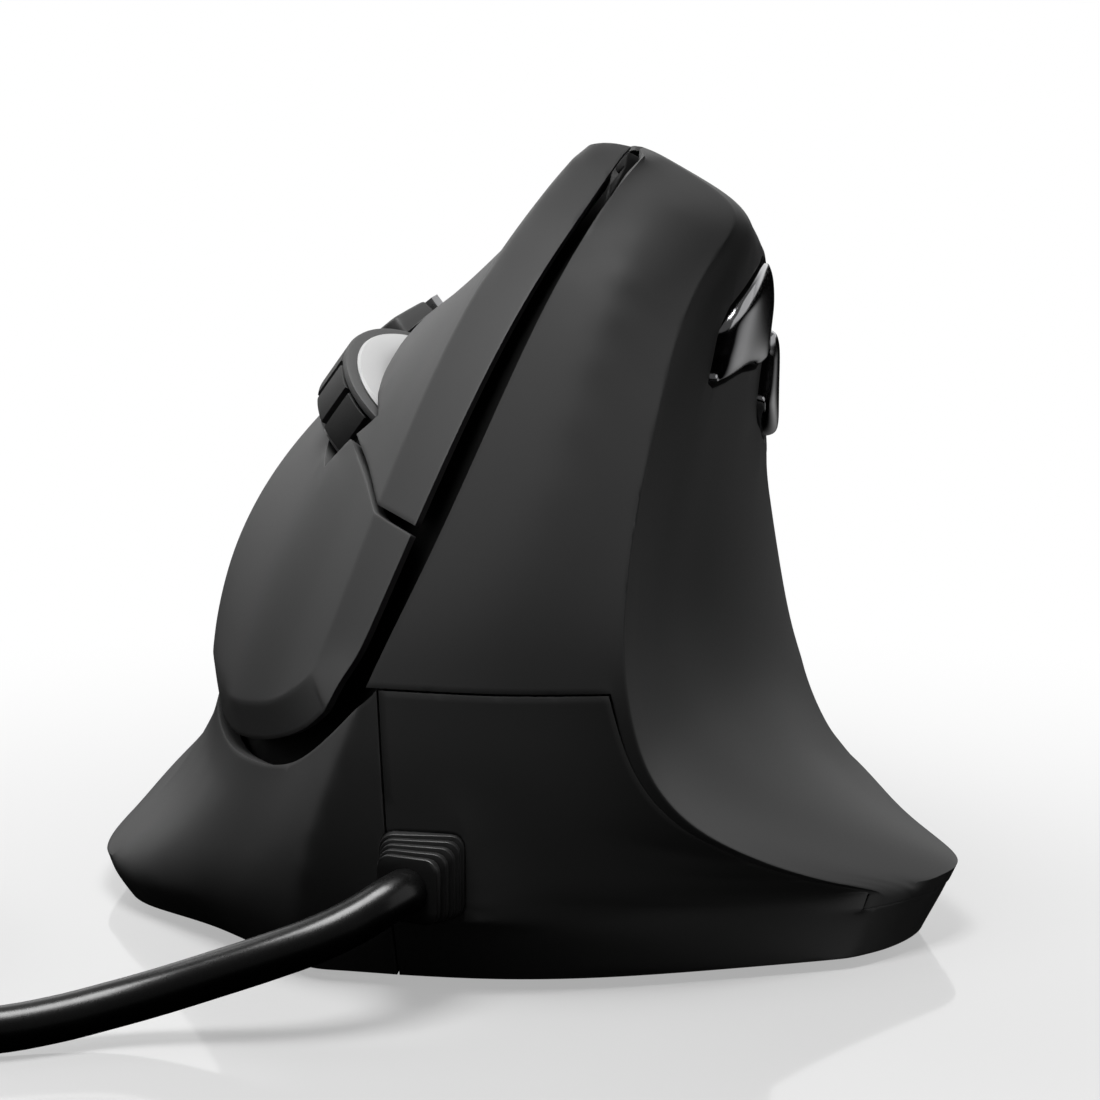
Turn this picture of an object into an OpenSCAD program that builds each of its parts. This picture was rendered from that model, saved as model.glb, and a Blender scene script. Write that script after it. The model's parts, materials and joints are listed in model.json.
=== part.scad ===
/* [Body] */
// Width over both flanges
body_w = 78.8; // [74:0.2:86]
// Length from the front face to the rear
body_l = 108; // [102:1:120]
// Height of the crown above the desk
body_h = 72; // [68:0.2:80]
// Thickness of the moulded shells
wall = 1.6; // [1.2:0.1:2]
// Gap at the fixed parting lines
seam_gap = 0.2; // [0.1:0.05:0.4]
// Height of the horizontal parting line on the front
front_seam_z = 26.6; // [24:0.2:30]
// Clearance between the base plate and the shells round it
base_fit = 0.7; // [0.5:0.05:1]
// Thickness of the base plate
base_t = 1.6; // [1.2:0.1:2.4]
// Thickness of the glide feet under the base
foot_t = 0.8; // [0.5:0.1:1.2]

/* [Finger buttons] */
// Thickness of the button and palm covers
cover_wall = 1.8; // [1.4:0.1:2.2]
// Gap along the seam between the two buttons
button_gap = 0.8; // [0.5:0.05:0.9]
// Gap between a button and the switch below it
press_gap = 0.5; // [0.4:0.05:0.8]
// Height of the DPI button above the covers
dpi_proud = 1.8; // [1:0.1:2.4]

/* [Wheel] */
// Diameter over the tyre
wheel_d = 16.4; // [15:0.2:18]
// Width of the tyre
wheel_w = 5.6; // [4.8:0.2:6.4]
// How far the tyre stands out of the covers
wheel_proud = 3.2; // [2.4:0.1:3.8]
// Blocks round the tyre
tread_blocks = 14; // [10:1:18]
// Depth of the grooves between the blocks
tread_depth = 0.7; // [0.4:0.1:1]
// Width of the grooves between the blocks
tread_gap = 0.8; // [0.5:0.1:1.2]
// Diameter of the axle
axle_d = 2.2; // [1.8:0.1:2.8]
// Running clearance of the axle, on radius
axle_clear = 0.06; // [0.03:0.01:0.1]
// Clearance between the wheel and the slot round it, on each side
slot_clear = 1.1; // [0.8:0.1:1.4]

/* [Side buttons] */
// How far the side buttons stand out of the shell
side_proud = 1.2; // [0.6:0.1:1.8]
// Gap round each side button
side_gap = 0.5; // [0.4:0.05:0.8]
// Thickness of the side buttons
side_wall = 2.2; // [1.8:0.1:2.6]

/* [Electronics] */
// Thickness of the circuit boards
pcb_t = 1.6; // [1:0.2:2]
// Height of the main board above the base plate
pcb_rise = 5.6; // [5:0.2:7]
// Depth of the slanted board below the covers
upper_depth = 11.4; // [11:0.1:12.4]
// Height of a button switch body
switch_h = 6.4; // [5.6:0.1:6.8]
// Diameter of the fixing screws
screw_d = 2.2; // [1.8:0.1:2.6]
// Clearance round a screw shank in a plain hole, on diameter
screw_clear = 0.3; // [0.2:0.05:0.5]

/* [Cord] */
// Diameter of the cord
cord_d = 4; // [3.4:0.1:4.2]
// Largest mid-line radius of the stored coil
coil_r = 33.6; // [33:0.1:36]
// Pitch of the turns in the coil
coil_pitch = 4.5; // [4.48:0.01:4.8]
// Length of the strain relief outside the shell
relief_l = 5.6; // [4.6:0.2:7]
// Side of the largest strain relief plate
relief_w = 7.4; // [6.8:0.2:8.4]
// Side of the smallest strain relief plate
relief_tip_w = 5.8; // [5.4:0.2:6.4]

/* [Hidden] */
// Sizes at which the rails below were drawn
form_w = 78.8;
form_l = 108;
form_h = 72;
kx = body_w / form_w;
ky = body_l / form_l;
kz = body_h / form_h;
$fn = 48;

// Body rails, each a list of [z, x, y] from the desk up
groove_rail = [[1, -16.5, -51], [6, -17, -52], [14, -15.8, -52.6], [26.5, -11.2, -52], [39, -5.3, -49],
    [58, 3.1, -43], [67, 8.2, -39], [72, 12.3, -35.9]];
nose_rail = [[1, 5, -52.4], [6, 5, -53.7], [14, 2.5, -54], [26.5, 0.5, -53.4], [39, 3.2, -50.8],
    [58, 9.2, -43.6], [67, 13.6, -37.6], [69.4, 12.6, -36.4], [72, 11.6, -35.4]];
ridge_rail = [[1, 30.5, -43], [5, 32.6, -40.6], [6.2, 33.2, -39.8], [8, 28.4, -43], [10, 23.8, -46],
    [13.5, 18, -49.4], [19.5, 13.2, -51.5], [29, 11.2, -51.7], [39, 11.5, -49], [48.5, 13.2, -45],
    [57, 15, -40], [62, 17.4, -36.2], [65.5, 19.8, -33.6], [68.5, 16.4, -34], [72, 10.8, -35]];
band_rail = [[1, 34.8, -37.5], [5, 37, -35], [6.2, 37.6, -34.4], [8, 32.2, -36.5], [10, 26.8, -38.5],
    [13.5, 20, -40.5], [19.5, 14.6, -42.5], [29, 12.6, -42.5], [39, 13.2, -40.5], [48.5, 15.4, -37.5],
    [57, 18, -34], [62, 20.2, -31.8], [65.5, 20.2, -31], [68.5, 16.2, -32.4], [72, 10.7, -34.6]];
scoop_rail = [[1, 36.4, -28.5], [5, 38.8, -27], [6.2, 39.4, -26.6], [8, 35.4, -26.6], [10, 30.2, -26.8],
    [13.5, 23.6, -27], [19.5, 18, -28], [29, 15.4, -29], [39, 16.2, -28], [48.5, 18, -27],
    [57, 20.2, -26], [62, 20.8, -26], [65.5, 18.8, -27.4], [68.5, 15, -30.4], [72, 10.6, -34.2]];
bulge_rail = [[1, 30.6, -9], [5, 32.6, -9.6], [6.2, 33, -10], [8, 29.6, -8], [13.5, 24.9, -7],
    [19.5, 21.9, -6], [29, 20.3, -6], [39, 19.8, -8], [57, 20.8, -14], [62, 19.6, -18],
    [68.5, 13, -28.8], [72, 10.4, -33.8]];
heel_rail = [[1, 20.4, 29], [6.2, 21, 29.5], [13.5, 19.8, 29], [29, 18, 24], [39, 17.3, 16], [57, 16.6, -2],
    [62, 15.2, -10], [68.5, 11, -27.6], [72, 10.2, -33.4]];
crown_rail = [[1, -3, 52.2], [6, -3, 54], [13, -2.4, 52], [21, -1, 49], [33.5, 3.5, 40], [46, 7, 26],
    [57, 8.6, 8], [65, 9, -12], [69.4, 9, -27], [72, 10, -33]];
// Finger side rails from the groove round the small finger flange, and the height of their top edge
flange_front_rail = [[1, -27, -38.5], [3.7, -27.5, -40], [8, -24, -44], [14, -20.5, -46],
    [19, -18.4, -45.8]];
flange_tip_rail = [[1, -36.3, -29], [3.7, -38.6, -27], [8, -32.5, -31], [14, -27, -35], [19, -25.4, -35.6]];
flange_side_rail = [[1, -37.2, -8], [3.7, -39.4, -8], [8, -34.8, -9], [14, -31.2, -10], [19, -30.2, -11]];
flange_rear_rail = [[1, -33.5, 24], [3.7, -35.6, 25], [8, -32.6, 24.5], [14, -29.8, 24], [19, -29, 24]];
rear_rail = [[1, -19, 44.5], [3.7, -20.4, 46.4], [8, -19.4, 45.8], [14, -18, 44], [19, -17, 42]];
side_tops = [25.1, 18, 17.1, 16.8, 13.9, 9.5, 6.3];

// Cubic through the values of a rail at height z
function knot(rail, z, i = 0) = i >= len(rail) - 2 || z < rail[i + 1][0] ? i : knot(rail, z, i + 1);
function slope(rail, i) = let (a = rail[max(i - 1, 0)], b = rail[min(i + 1, len(rail) - 1)])
    [b[1] - a[1], b[2] - a[2]] / (b[0] - a[0]);
function hermite(p0, m0, p1, m1, t) =
    (1 + 2 * t) * (1 - t) * (1 - t) * p0 + t * (1 - t) * (1 - t) * m0
    + t * t * (3 - 2 * t) * p1 - t * t * (1 - t) * m1;
function rail_at(rail, z) = let (i = knot(rail, z), a = rail[i], b = rail[i + 1], h = b[0] - a[0])
    hermite([a[1], a[2]], slope(rail, i) * h, [b[1], b[2]], slope(rail, i + 1) * h, (z - a[0]) / h);

// Point of an open curve through a list of values, u counted in values
function through(pts, u) = let (n = len(pts) - 1, i = min(max(floor(u), 0), n - 1),
        m0 = (pts[min(i + 1, n)] - pts[max(i - 1, 0)]) / (i == 0 ? 1 : 2),
        m1 = (pts[min(i + 2, n)] - pts[i]) / (i == n - 1 ? 1 : 2))
    hermite(pts[i], m0, pts[i + 1], m1, u - i);

// Body surface: u 0 to 2 is the front from groove to ridge, 2 to 7 the thumb side from ridge to crown
function scaled(p) = [p[0] * kx, p[1] * ky, p[2] * kz];
function place(p, z) = scaled([p[0], p[1], z]);
function body_at(u, z) = let (r = rail_at(ridge_rail, z)) place(
    u <= 2 ? through([rail_at(groove_rail, z), rail_at(nose_rail, z), r], u)
    : through([r, rail_at(band_rail, z), rail_at(scoop_rail, z), rail_at(bulge_rail, z),
        rail_at(heel_rail, z), rail_at(crown_rail, z)], u - 2), z);
function side_at(u, z) = place(through([rail_at(groove_rail, z), rail_at(flange_front_rail, z),
    rail_at(flange_tip_rail, z), rail_at(flange_side_rail, z), rail_at(flange_rear_rail, z),
    rail_at(rear_rail, z), rail_at(crown_rail, z)], u), z);

// Where the thumb side lies at a given y and z
function thumb_u(y, z, lo = 2, hi = 7, n = 16) = let (m = (lo + hi) / 2)
    n == 0 ? m : body_at(m, z)[1] < y ? thumb_u(y, z, m, hi, n - 1) : thumb_u(y, z, lo, m, n - 1);
function thumb_x(y, z) = body_at(thumb_u(y, z / kz), z / kz)[0];

// Closed sheet over the kept cells of a grid of points
function unit(v) = v / max(norm(v), 1e-9);
function normal_at(g, i, j) = let (ni = len(g) - 1, nj = len(g[0]) - 1)
    unit(cross(g[min(i + 1, ni)][j] - g[max(i - 1, 0)][j], g[i][min(j + 1, nj)] - g[i][max(j - 1, 0)]));
function inset(g, t) = [for (i = [0 : len(g) - 1]) [for (j = [0 : len(g[0]) - 1])
    g[i][j] - t(i, j) * normal_at(g, i, j)]];
module sheet(outer, inner, keep = function (i, j) true) {
    ni = len(outer) - 1;
    nj = len(outer[0]) - 1;
    n = (ni + 1) * (nj + 1);
    at = function (i, j) i * (nj + 1) + j;
    in = function (i, j) i >= 0 && j >= 0 && i < ni && j < nj && keep(i, j);
    quads = [for (i = [0 : ni - 1]) for (j = [0 : nj - 1]) if (in(i, j))
        let (a = at(i, j), b = at(i + 1, j), c = at(i + 1, j + 1), d = at(i, j + 1))
        each concat([[d, c, b, a], [a + n, b + n, c + n, d + n]],
            in(i - 1, j) ? [] : [[d, a, a + n, d + n]],
            in(i + 1, j) ? [] : [[b, c, c + n, b + n]],
            in(i, j - 1) ? [] : [[a, b, b + n, a + n]],
            in(i, j + 1) ? [] : [[c, d, d + n, c + n]])];
    polyhedron([for (row = outer) each row, for (row = inner) each row],
        [for (q = quads) each [[q[0], q[1], q[2]], [q[0], q[2], q[3]]]]);
}

// Heights of the grid rows, and the part of the front that the lower panel takes
skirt_z = 1;
lip_z = 5;
seam_form_z = front_seam_z / kz;
rows = [lip_z, 6.2, 8, 10, 13.5, 17, 21, seam_form_z + seam_gap / 2, 31, 36, 42, 48, 53, 57, 60, 62.5,
    65, 67, 69, 70.2, 71];
panel_rows = [skirt_z, 3, lip_z - seam_gap, 6.2, 8, 10, 13.5, 17, 21, seam_form_z - seam_gap / 2];
edge_band = 1.3;
function band_u(z, off = 0) =
    2 - (edge_band + off) / norm(rail_at(ridge_rail, z) - rail_at(nose_rail, z));
rear_gap = 0.02;
cols = [0, 0.4, 0.8, 1.2, 1.6, 2, 2.2, 2.4, 2.65, 3, 3.3, 3.65, 4, 4.5, 5, 5.5, 6, 6.5, 7 - rear_gap];
band_col = 4;

// Upright parting line left of the middle
function upright_x(z) = -10.1 + 0.066 * (seam_form_z - z);
function front_u(x, z, lo = 0, hi = 1, n = 14) = let (m = (lo + hi) / 2)
    n == 0 ? m : body_at(m, z)[0] < x * kx ? front_u(x, z, m, hi, n - 1) : front_u(x, z, lo, m, n - 1);
side_cols = [0.25, 0.5, 0.75, 1, 1.35, 1.7, 2, 2.35, 2.7, 3, 3.5, 4, 4.5, 5, 5.5, 6];
side_rows = [0, 0.08, 0.16, 0.3, 0.45, 0.6, 0.8, 1];

// Cover sections from front to back: crown end, slope there, lower end, slope there
cover_sections = [
    [[6.2, -36, 72.3], 48, [-16.7, -46, 26.2], 68],
    [[7, -33.4, 71.1], 43, [-20.9, -41.5, 22.6], 70],
    [[7.9, -27, 69], 36, [-26.5, -33.5, 21.2], 77],
    [[8.2, -12, 64.8], 32, [-30.8, -14, 21.2], 84],
    [[7.8, 8, 56.8], 30, [-32, 8, 20], 86],
    [[6.2, 26, 45.8], 30, [-30.4, 26, 18], 82],
    [[2.7, 40, 33.3], 30, [-23, 40, 14.6], 75],
    [[-1.8, 49, 20.8], 34, [-12, 49.4, 11], 62]];
section_pull = 0.36;
// Bevel of the covers: from the face edge to its outer edge, at the top, middle and foot of the front
front_bevel = [[4.4, -0.8, -0.9], [4.3, -2.7, -0.6], [2.4, -3.6, -2.2]];
foot_bevel = [0.7, -0.6, -3.2];
corner_bevel = [-0.2, 0.25, -0.4];
corner_turn = [1.2, -2.4, 0.2];
rear_bevel = [0.4, 2.2, -3];
function down(a) = [-cos(a), 0, -sin(a)];
function section_point(r, t) = let (h = section_pull * norm(r[2] - r[0]), s = 1 - t,
        a = r[0], b = r[0] + h * down(r[1]), c = r[2] - h * down(r[3]), d = r[2])
    s * s * s * a + 3 * s * s * t * b + 3 * s * t * t * c + t * t * t * d;
// The crown edge of the covers is rounded over, and at the front their bevel rises to meet it
crown_drop = 0.7;
crown_share = 0.05;
crest = [-0.2, 0, 1.1];
crest_share = 0.12;
function near_crown(t, share) = pow(max(1 - t / share, 0), 2);
function cover_at(s, t) = scaled(through([for (r = cover_sections) section_point(r, t)], s)
    - [0, 0, crown_drop * near_crown(t, crown_share)]);
function cover_normal(s, t) = unit(cross(cover_at(s + 0.05, t) - cover_at(s - 0.05, t),
    cover_at(s, t + 0.02) - cover_at(s, t - 0.02)));

// Frame at the wheel: x up the slope along the axle, y to the rear, z out of the covers
wheel_s = 2.28;
wheel_t = 0.49;
wheel_turn = 27;
wheel_lean = 8;
wheel_o = cover_at(wheel_s, wheel_t);
wheel_n = cover_normal(wheel_s, wheel_t);
function in_plane(d, n) = unit(d - (d * n) * n);
section_x = in_plane(cover_at(wheel_s, wheel_t - 0.1) - cover_at(wheel_s, wheel_t + 0.1), wheel_n);
turned_x = cos(wheel_turn) * section_x - sin(wheel_turn) * cross(wheel_n, section_x);
wheel_x = cos(wheel_lean) * turned_x + sin(wheel_lean) * wheel_n;
wheel_z = cos(wheel_lean) * wheel_n - sin(wheel_lean) * turned_x;
wheel_y = cross(wheel_z, wheel_x);
module at_frame(o, x, y, z) {
    multmatrix([[x[0], y[0], z[0], o[0]], [x[1], y[1], z[1], o[1]], [x[2], y[2], z[2], o[2]], [0, 0, 0, 1]])
        children();
}
module at_wheel() {
    at_frame(wheel_o, wheel_x, wheel_y, wheel_z) children();
}
// The slanted board keeps the turn but not the lean
function to_board(p) = [(p - wheel_o) * turned_x, (p - wheel_o) * wheel_y, (p - wheel_o) * wheel_n];
module at_board() {
    at_frame(wheel_o, turned_x, wheel_y, wheel_n) children();
}
wheel_r = wheel_d / 2;
axle_z = wheel_proud - wheel_r;
hub_r = wheel_r - 2.1;

// Seam between the two buttons, with the wheel slot and the DPI opening along it
seam_ts = [0.71, 0.615, 0.535, 0.42, 0.37, 0.36, 0.36, 0.36];
function seam_t(s) = through(seam_ts, s);
function section_len(s) = norm(cover_at(s, 0.6) - cover_at(s, 0.4)) / 0.2;
function beside_seam(s, x) = seam_t(s) - x / section_len(s);
slot_half = wheel_w / 2 + slot_clear;
slot_reach = sqrt(wheel_r * wheel_r - pow(axle_z + cover_wall + 0.8, 2)) + slot_clear - 0.2;
dpi_s = 3.2;
buttons_end = 4;
end_gap = 0.018;
cover_ss = [0, 0.5, 1, 1.35, 1.7, 2, 2.35, 2.7, 3, 3.35, 3.7, buttons_end - end_gap];
palm_ss = [buttons_end + end_gap, 4.4, 4.8, 5.2, 5.6, 6, 6.5, 7];
palm_ts = [0, 0.05, 0.1, 0.2, 0.3, 0.4, 0.5, 0.6, 0.7, 0.8, 0.9, 1];
function upper_ts(s) = [0, 0.03, 0.07, 0.2, 0.35, 0.5, 0.65, 0.8, 0.9, 1] * beside_seam(s, button_gap / 2);
function lower_ts(s) = let (e = beside_seam(s, -button_gap / 2))
    [for (k = [0, 0.12, 0.24, 0.36, 0.48, 0.6, 0.72, 0.82, 0.92, 1]) e + (1 - e) * k];
function bevel_front(t) = scaled(through(front_bevel, 2 * t) + near_crown(t, crest_share) * crest);
function bevel_foot(s) = scaled(foot_bevel + max(1 - s, 0) * corner_turn);

// Cover grids with their bevel rows: first the front bevel and its middle, last the foot bevel
function with_middle(g) = let (n = len(g[0]) - 1, m = [for (j = [0 : n]) (g[0][j] + g[1][j]) / 2])
    concat([g[0], m], [for (i = [1 : len(g) - 1]) g[i]]);
left_grid = with_middle([for (i = [-1 : len(cover_ss) - 1]) let (s = cover_ss[max(i, 0)])
    [for (t = upper_ts(s)) cover_at(s, t) + (i < 0 ? bevel_front(t) : [0, 0, 0])]]);
right_grid = with_middle([for (i = [-1 : len(cover_ss) - 1])
    let (s = cover_ss[max(i, 0)], ts = lower_ts(s), n = len(ts))
    [for (j = [0 : n]) let (t = ts[min(j, n - 1)])
        cover_at(s, t) + (i < 0 ? bevel_front(t) : j == n ? bevel_foot(s) : [0, 0, 0])
        + (i < 0 && j == n ? scaled(corner_bevel) : [0, 0, 0])]]);
palm_grid = [for (i = [0 : len(palm_ss)]) let (s = palm_ss[min(i, len(palm_ss) - 1)], n = len(palm_ts))
    [for (j = [0 : n]) let (t = palm_ts[min(j, n - 1)])
        cover_at(s, t) + (i == len(palm_ss) ? scaled(rear_bevel) : j == n ? bevel_foot(s) : [0, 0, 0])]];

// Small shapes used by many pieces
function rounded(w, l, r, n = 4) = [for (q = [0 : 3]) for (k = [0 : n])
    let (a = 90 * (q + k / n), sx = q == 0 || q == 3 ? 1 : -1, sy = q < 2 ? 1 : -1)
    [sx * (w / 2 - r) + r * cos(a), sy * (l / 2 - r) + r * sin(a)]];
function span(c, h) = [c - h, c + h];
module block(x, y, z) {
    translate([x[0], y[0], z[0]]) cube([x[1] - x[0], y[1] - y[0], z[1] - z[0]]);
}
// Solid between two rings of points that match one to one
module between(low, high) {
    n = len(low);
    mid = function (ring) [for (k = [0 : 2]) [for (p = ring) p[k]] * [for (p = ring) 1] / n];
    polyhedron(concat(low, high, [mid(low), mid(high)]), [for (i = [0 : n - 1]) let (j = (i + 1) % n)
        each [[i, j, 2 * n], [n + j, n + i, 2 * n + 1], [j, i, n + i], [j, n + i, n + j]]]);
}
function circle_at(r, n = 8) = [for (i = [0 : n - 1]) r * [cos(360 * i / n), sin(360 * i / n)]];
// Round tube along a list of points
module tube(pts, r, sides) {
    n = len(pts);
    dir = function (i) unit(pts[min(i + 1, n - 1)] - pts[max(i - 1, 0)]);
    rings = [for (i = [0 : n - 1]) let (side = unit(cross(dir(i), [0, 0, 1])), up = cross(side, dir(i)))
        each [for (q = circle_at(r, sides)) pts[i] + q[0] * side + q[1] * up]];
    walls = [for (i = [0 : n - 2]) for (k = [0 : sides - 1])
        let (a = i * sides + k, b = i * sides + (k + 1) % sides)
        each [[a, b, a + sides], [b, b + sides, a + sides]]];
    first = [for (k = [1 : sides - 2]) [0, k + 1, k]];
    last = [for (k = [1 : sides - 2]) (n - 1) * sides * [1, 1, 1] + [0, k, k + 1]];
    polyhedron(rings, concat(walls, first, last));
}

// Inside levels
base_z = foot_t;
base_top = base_z + base_t;
pcb_z = base_top + pcb_rise;
pcb_top = pcb_z + pcb_t;
foot_post_r = 3;
head_t = 0.9;
post_bite = 5;
pilot_fit = 0.04;
board_fit = 0.1;
frame_t = 1.2;
encoder_t = 2.3;
holder_room = 0.65;
relief_fit = 0.1;
tail_l = 19;
head_d = 4;
pcb_y = -12 * ky;
pcb_l = 42;
pcb_posts = [for (x = [-12.5, 11.5]) for (y = [2.5, pcb_l - 2.5]) [x, pcb_y + y]];
sensor_at = [-1, pcb_y + 19];
lens_w = 9;
lens_l = 8;

// Where the finger side and the front lie behind a point, and where the covers lie above one
function side_u(y, z, lo = 1, hi = 5, n = 16) = let (m = (lo + hi) / 2)
    n == 0 ? m : side_at(m, z)[1] < y ? side_u(y, z, m, hi, n - 1) : side_u(y, z, lo, m, n - 1);
function side_x(y, z) = side_at(side_u(y, z / kz), z / kz)[0];
function front_y(x, z) = body_at(front_u(x / kx, z / kz, 0, 2), z / kz)[1];
function cover_st(x, y, s = 4.5, t = 0.5, n = 8) = n == 0 ? [s, t] : let (p = cover_at(s, t),
        ds = (cover_at(s + 0.1, t)[1] - cover_at(s - 0.1, t)[1]) / 0.2,
        dt = (cover_at(s, t + 0.05)[0] - cover_at(s, t - 0.05)[0]) / 0.1)
    cover_st(x, y, s + (y - p[1]) / ds, t + (x - p[0]) / dt, n - 1);
function cover_mid_z(x, y) = let (st = cover_st(x, y))
    cover_at(st[0], st[1])[2] - cover_wall / 2 / cover_normal(st[0], st[1])[2];

// Slanted board and the stand below it
upper_x = [-18, 15.8];
upper_y = [-9, 20.5];
switch_x = 12.4;
cheek_in = wheel_w / 2 + 1.4;
cheek_out = cheek_in + 1.2;
board_cut = cheek_out + 0.7;
board_cut_x = (upper_depth + pcb_t / 2) * sin(wheel_lean);
holder_y = 4;
holder_top = axle_z + axle_d / 2 + 0.7;
holder_floor = axle_z - wheel_r - 1;
disc_t = 0.6;
board_back = wheel_o - (upper_depth + pcb_t) * wheel_n;
function board_back_z(x, y) = board_back[2]
    - ((x - board_back[0]) * wheel_n[0] + (y - board_back[1]) * wheel_n[1]) / wheel_n[2];
stand_x = 10.4 * kx;
stand_top = 57 * kz;
rib_ys = [[-34.4, -32.4] * ky, [-16.4, -14.4] * ky];
stand_feet = [for (x = [-6, 6]) for (r = rib_ys) [x * kx, (r[0] + r[1]) / 2]];
palm_posts = [[-21, 15], [-4, 37]];
palm_post_z = 22;
boss_r = 2.5;
shell_bosses = [for (r = rib_ys) [(r[0] + r[1]) / 2, 30 * kz]];
panel_boss = [4 * kx, 18 * kz];
side_post_x = -23 * kx;
side_post_y = -4 * ky;
side_boss_z = 9;

// Strain relief: plates that turn a little more each step, then the cord
relief_o = [-6 * kx, -54.2 * ky, 10.65 * kz];
relief_steps = 5;
relief_step = relief_l / (relief_steps - 0.1);
relief_turn = 5;
relief_plate = 0.62;
function relief_dir(k) = [-sin(relief_turn * k), -cos(relief_turn * k), 0];
function relief_at(k) = k == 0 ? relief_o : relief_at(k - 1) + relief_step * relief_dir(k - 1);
cord_start = relief_at(relief_steps - 1) + relief_step * relief_plate / 2 * relief_dir(relief_steps - 1);
lead_d = 3.2;
lead_start = [relief_o[0], relief_o[1] + 4.6, relief_o[2]];
lead_end = [0, pcb_y, pcb_top + 2.4];
lead_route = [lead_start, lead_start + [0, 3, 0], [-4, -40 * ky, 10.9], [-2.4, -32 * ky, 11.4],
    [-1, -24 * ky, 11.8],
    lead_end - [0, 4, 0], lead_end];

// Cord from the relief to the floor and on to the coil
coil_o = [-83.5, -43.7];
coil_start = -90;
coil_turns = 4.5;
tie_t = 0.8;
coil_z = tie_t + 0.2 + cord_d / 2;
coil_layer = cord_d + 0.6;
tail_turn = 120;
tail_drop = 74;
tie_turn = 90;
coil_in = [sin(coil_start), -cos(coil_start)];
tail_dir = [sin(coil_start - tail_turn), -cos(coil_start - tail_turn), 0];
coil_first = coil_o + coil_r * [cos(coil_start), sin(coil_start)];
cord_route = concat([cord_start, cord_start + 2.6 * relief_dir(relief_steps - 1)],
    [[-10.4, -64, 9.4], [-13.2, -65.8, 8.1], [-17.2, -67.2, 5.9], [-22, -68.2, 4.6], [-26.4, -69.2, 3.8],
    [-30.8, -70.8, 3], [-35, -73.2, 2.5], [-39.6, -75.6, 2.2], [-44.4, -76.8, 2.1], [-49.6, -77.3, 2.1],
    [-58, -77.3, 2.1], [-67, -77.3, 2.3]],
    [for (k = [8, 4]) let (p = coil_first - k * coil_in) [p[0], p[1], k == 8 ? 2.8 : coil_z]]);
function coil_at(a) = let (half = coil_turns * 360, past = a - 2 * half,
        k = min(max((a - half + 90) / 180, 0), 1), rise = k * k * (3 - 2 * k),
        f = past > 0 ? past / tail_turn * tail_drop : 0,
        r = coil_r - coil_pitch * (coil_turns - abs(a - half) / 360) + (past > 0 ? coil_layer * sin(f)
            - coil_pitch * past / 360 : 0),
        z = coil_z + coil_layer * (past > 0 ? cos(f) : rise))
    [coil_o[0] + r * cos(coil_start - a), coil_o[1] + r * sin(coil_start - a), z];
coil_path = [for (a = [0 : 15 : 2 * 360 * coil_turns + tail_turn]) coil_at(a)];
coil_end = coil_at(2 * 360 * coil_turns + tail_turn);
coil_pts = concat([[coil_first[0] - 4 * coil_in[0], coil_first[1] - 4 * coil_in[1], coil_z]], coil_path,
    [for (k = [0 : 5]) coil_end + k * tail_l / 5 * tail_dir]);
plug_o = coil_end + tail_l * tail_dir;
plug_turn = coil_start - tail_turn + 180;
plug_w = 15.6;
plug_h = 8.2;
plug_l = 26;
usb_w = 12;
usb_h = 4.5;
usb_l = 18.8;
usb_t = 0.3;

// Side buttons on the thumb side: [y, upper edge, lower edge, share of the height] from front to back
forward_outline = [[-33, 55.2, 50.6, 1], [-31.8, 56.8, 50.2, 1], [-28, 58.8, 50, 1], [-23, 59.8, 50, 0.8],
    [-18.5, 58.6, 49.4, 0.6], [-15, 55.8, 48.8, 0.6], [-14, 53.6, 49.6, 0.6]];
back_outline = [[-12.2, 50.6, 44.6, 0.9], [-11, 51.8, 43.2, 1.1], [-7, 50.4, 41.2, 1.2],
    [-3, 47.8, 39.8, 1.2], [1, 44.8, 38.8, 1.1], [3, 42.8, 39.6, 1]];
side_steps = [0, 0.12, 0.35, 0.65, 0.88, 1];
function side_grid(outline) = let (n = len(outline) - 1, m = len(side_steps) - 1)
    [for (i = [0 : n]) [for (j = [0 : m]) let (o = outline[i], y = o[0] * ky,
        z = (o[2] + (o[1] - o[2]) * side_steps[j]) * kz, edge = i == 0 || i == n || j == 0 || j == m)
        [thumb_x(y, z) + side_proud * o[3] * (edge ? 0.45 : 1), y, z]]];
function side_rim(outline) = let (n = len(outline) - 1, ring = concat([for (o = outline) [o[0], o[2]]],
        [for (i = [0 : n]) [outline[n - i][0], outline[n - i][1]]]), c = len(ring))
    [for (i = [0 : c - 1]) let (d = unit(ring[(i + 1) % c] - ring[(i + c - 1) % c]))
        [ring[i][0] * ky + side_gap * d[1], ring[i][1] * kz - side_gap * d[0]]];
side_switch_at = [[-23, 54.6, 0.8], [-6, 47.4, 1.2]];

// DPI button behind the wheel, in an opening across the seam
dpi_w = 6.4;
dpi_l = 8;
dpi_gap = 0.5;
dpi_o = cover_at(dpi_s, seam_t(dpi_s));
dpi_z = cover_normal(dpi_s, seam_t(dpi_s));
dpi_x = in_plane(wheel_x, dpi_z);
dpi_y = cross(dpi_z, dpi_x);
dpi_low = -cover_wall - 1;
dpi_base = to_board(dpi_o + dpi_low * dpi_z);
module cover_openings() {
    at_wheel() block([-slot_half, slot_half], [-slot_reach, slot_reach], [-8, 8]);
    at_wheel() block([0, cheek_out + encoder_t + 0.6], span(0, holder_y + 0.8),
        [-8, holder_top + holder_room]);
    at_dpi() block(span(0, dpi_w / 2 + dpi_gap), span(0, dpi_l / 2 + dpi_gap), [-8, 8]);
}
module at_dpi() {
    at_frame(dpi_o, dpi_x, dpi_y, dpi_z) children();
}

// Tip of the crown, where the last row of the shell closes in
tip_mid = [10.7, -34];
tip_share = 0.3;
tip_z = 71.4;
function crown_tip(p) = let (c = place(tip_mid, tip_z), d = p - c) c + tip_share * [d[0], d[1], 0];

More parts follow.
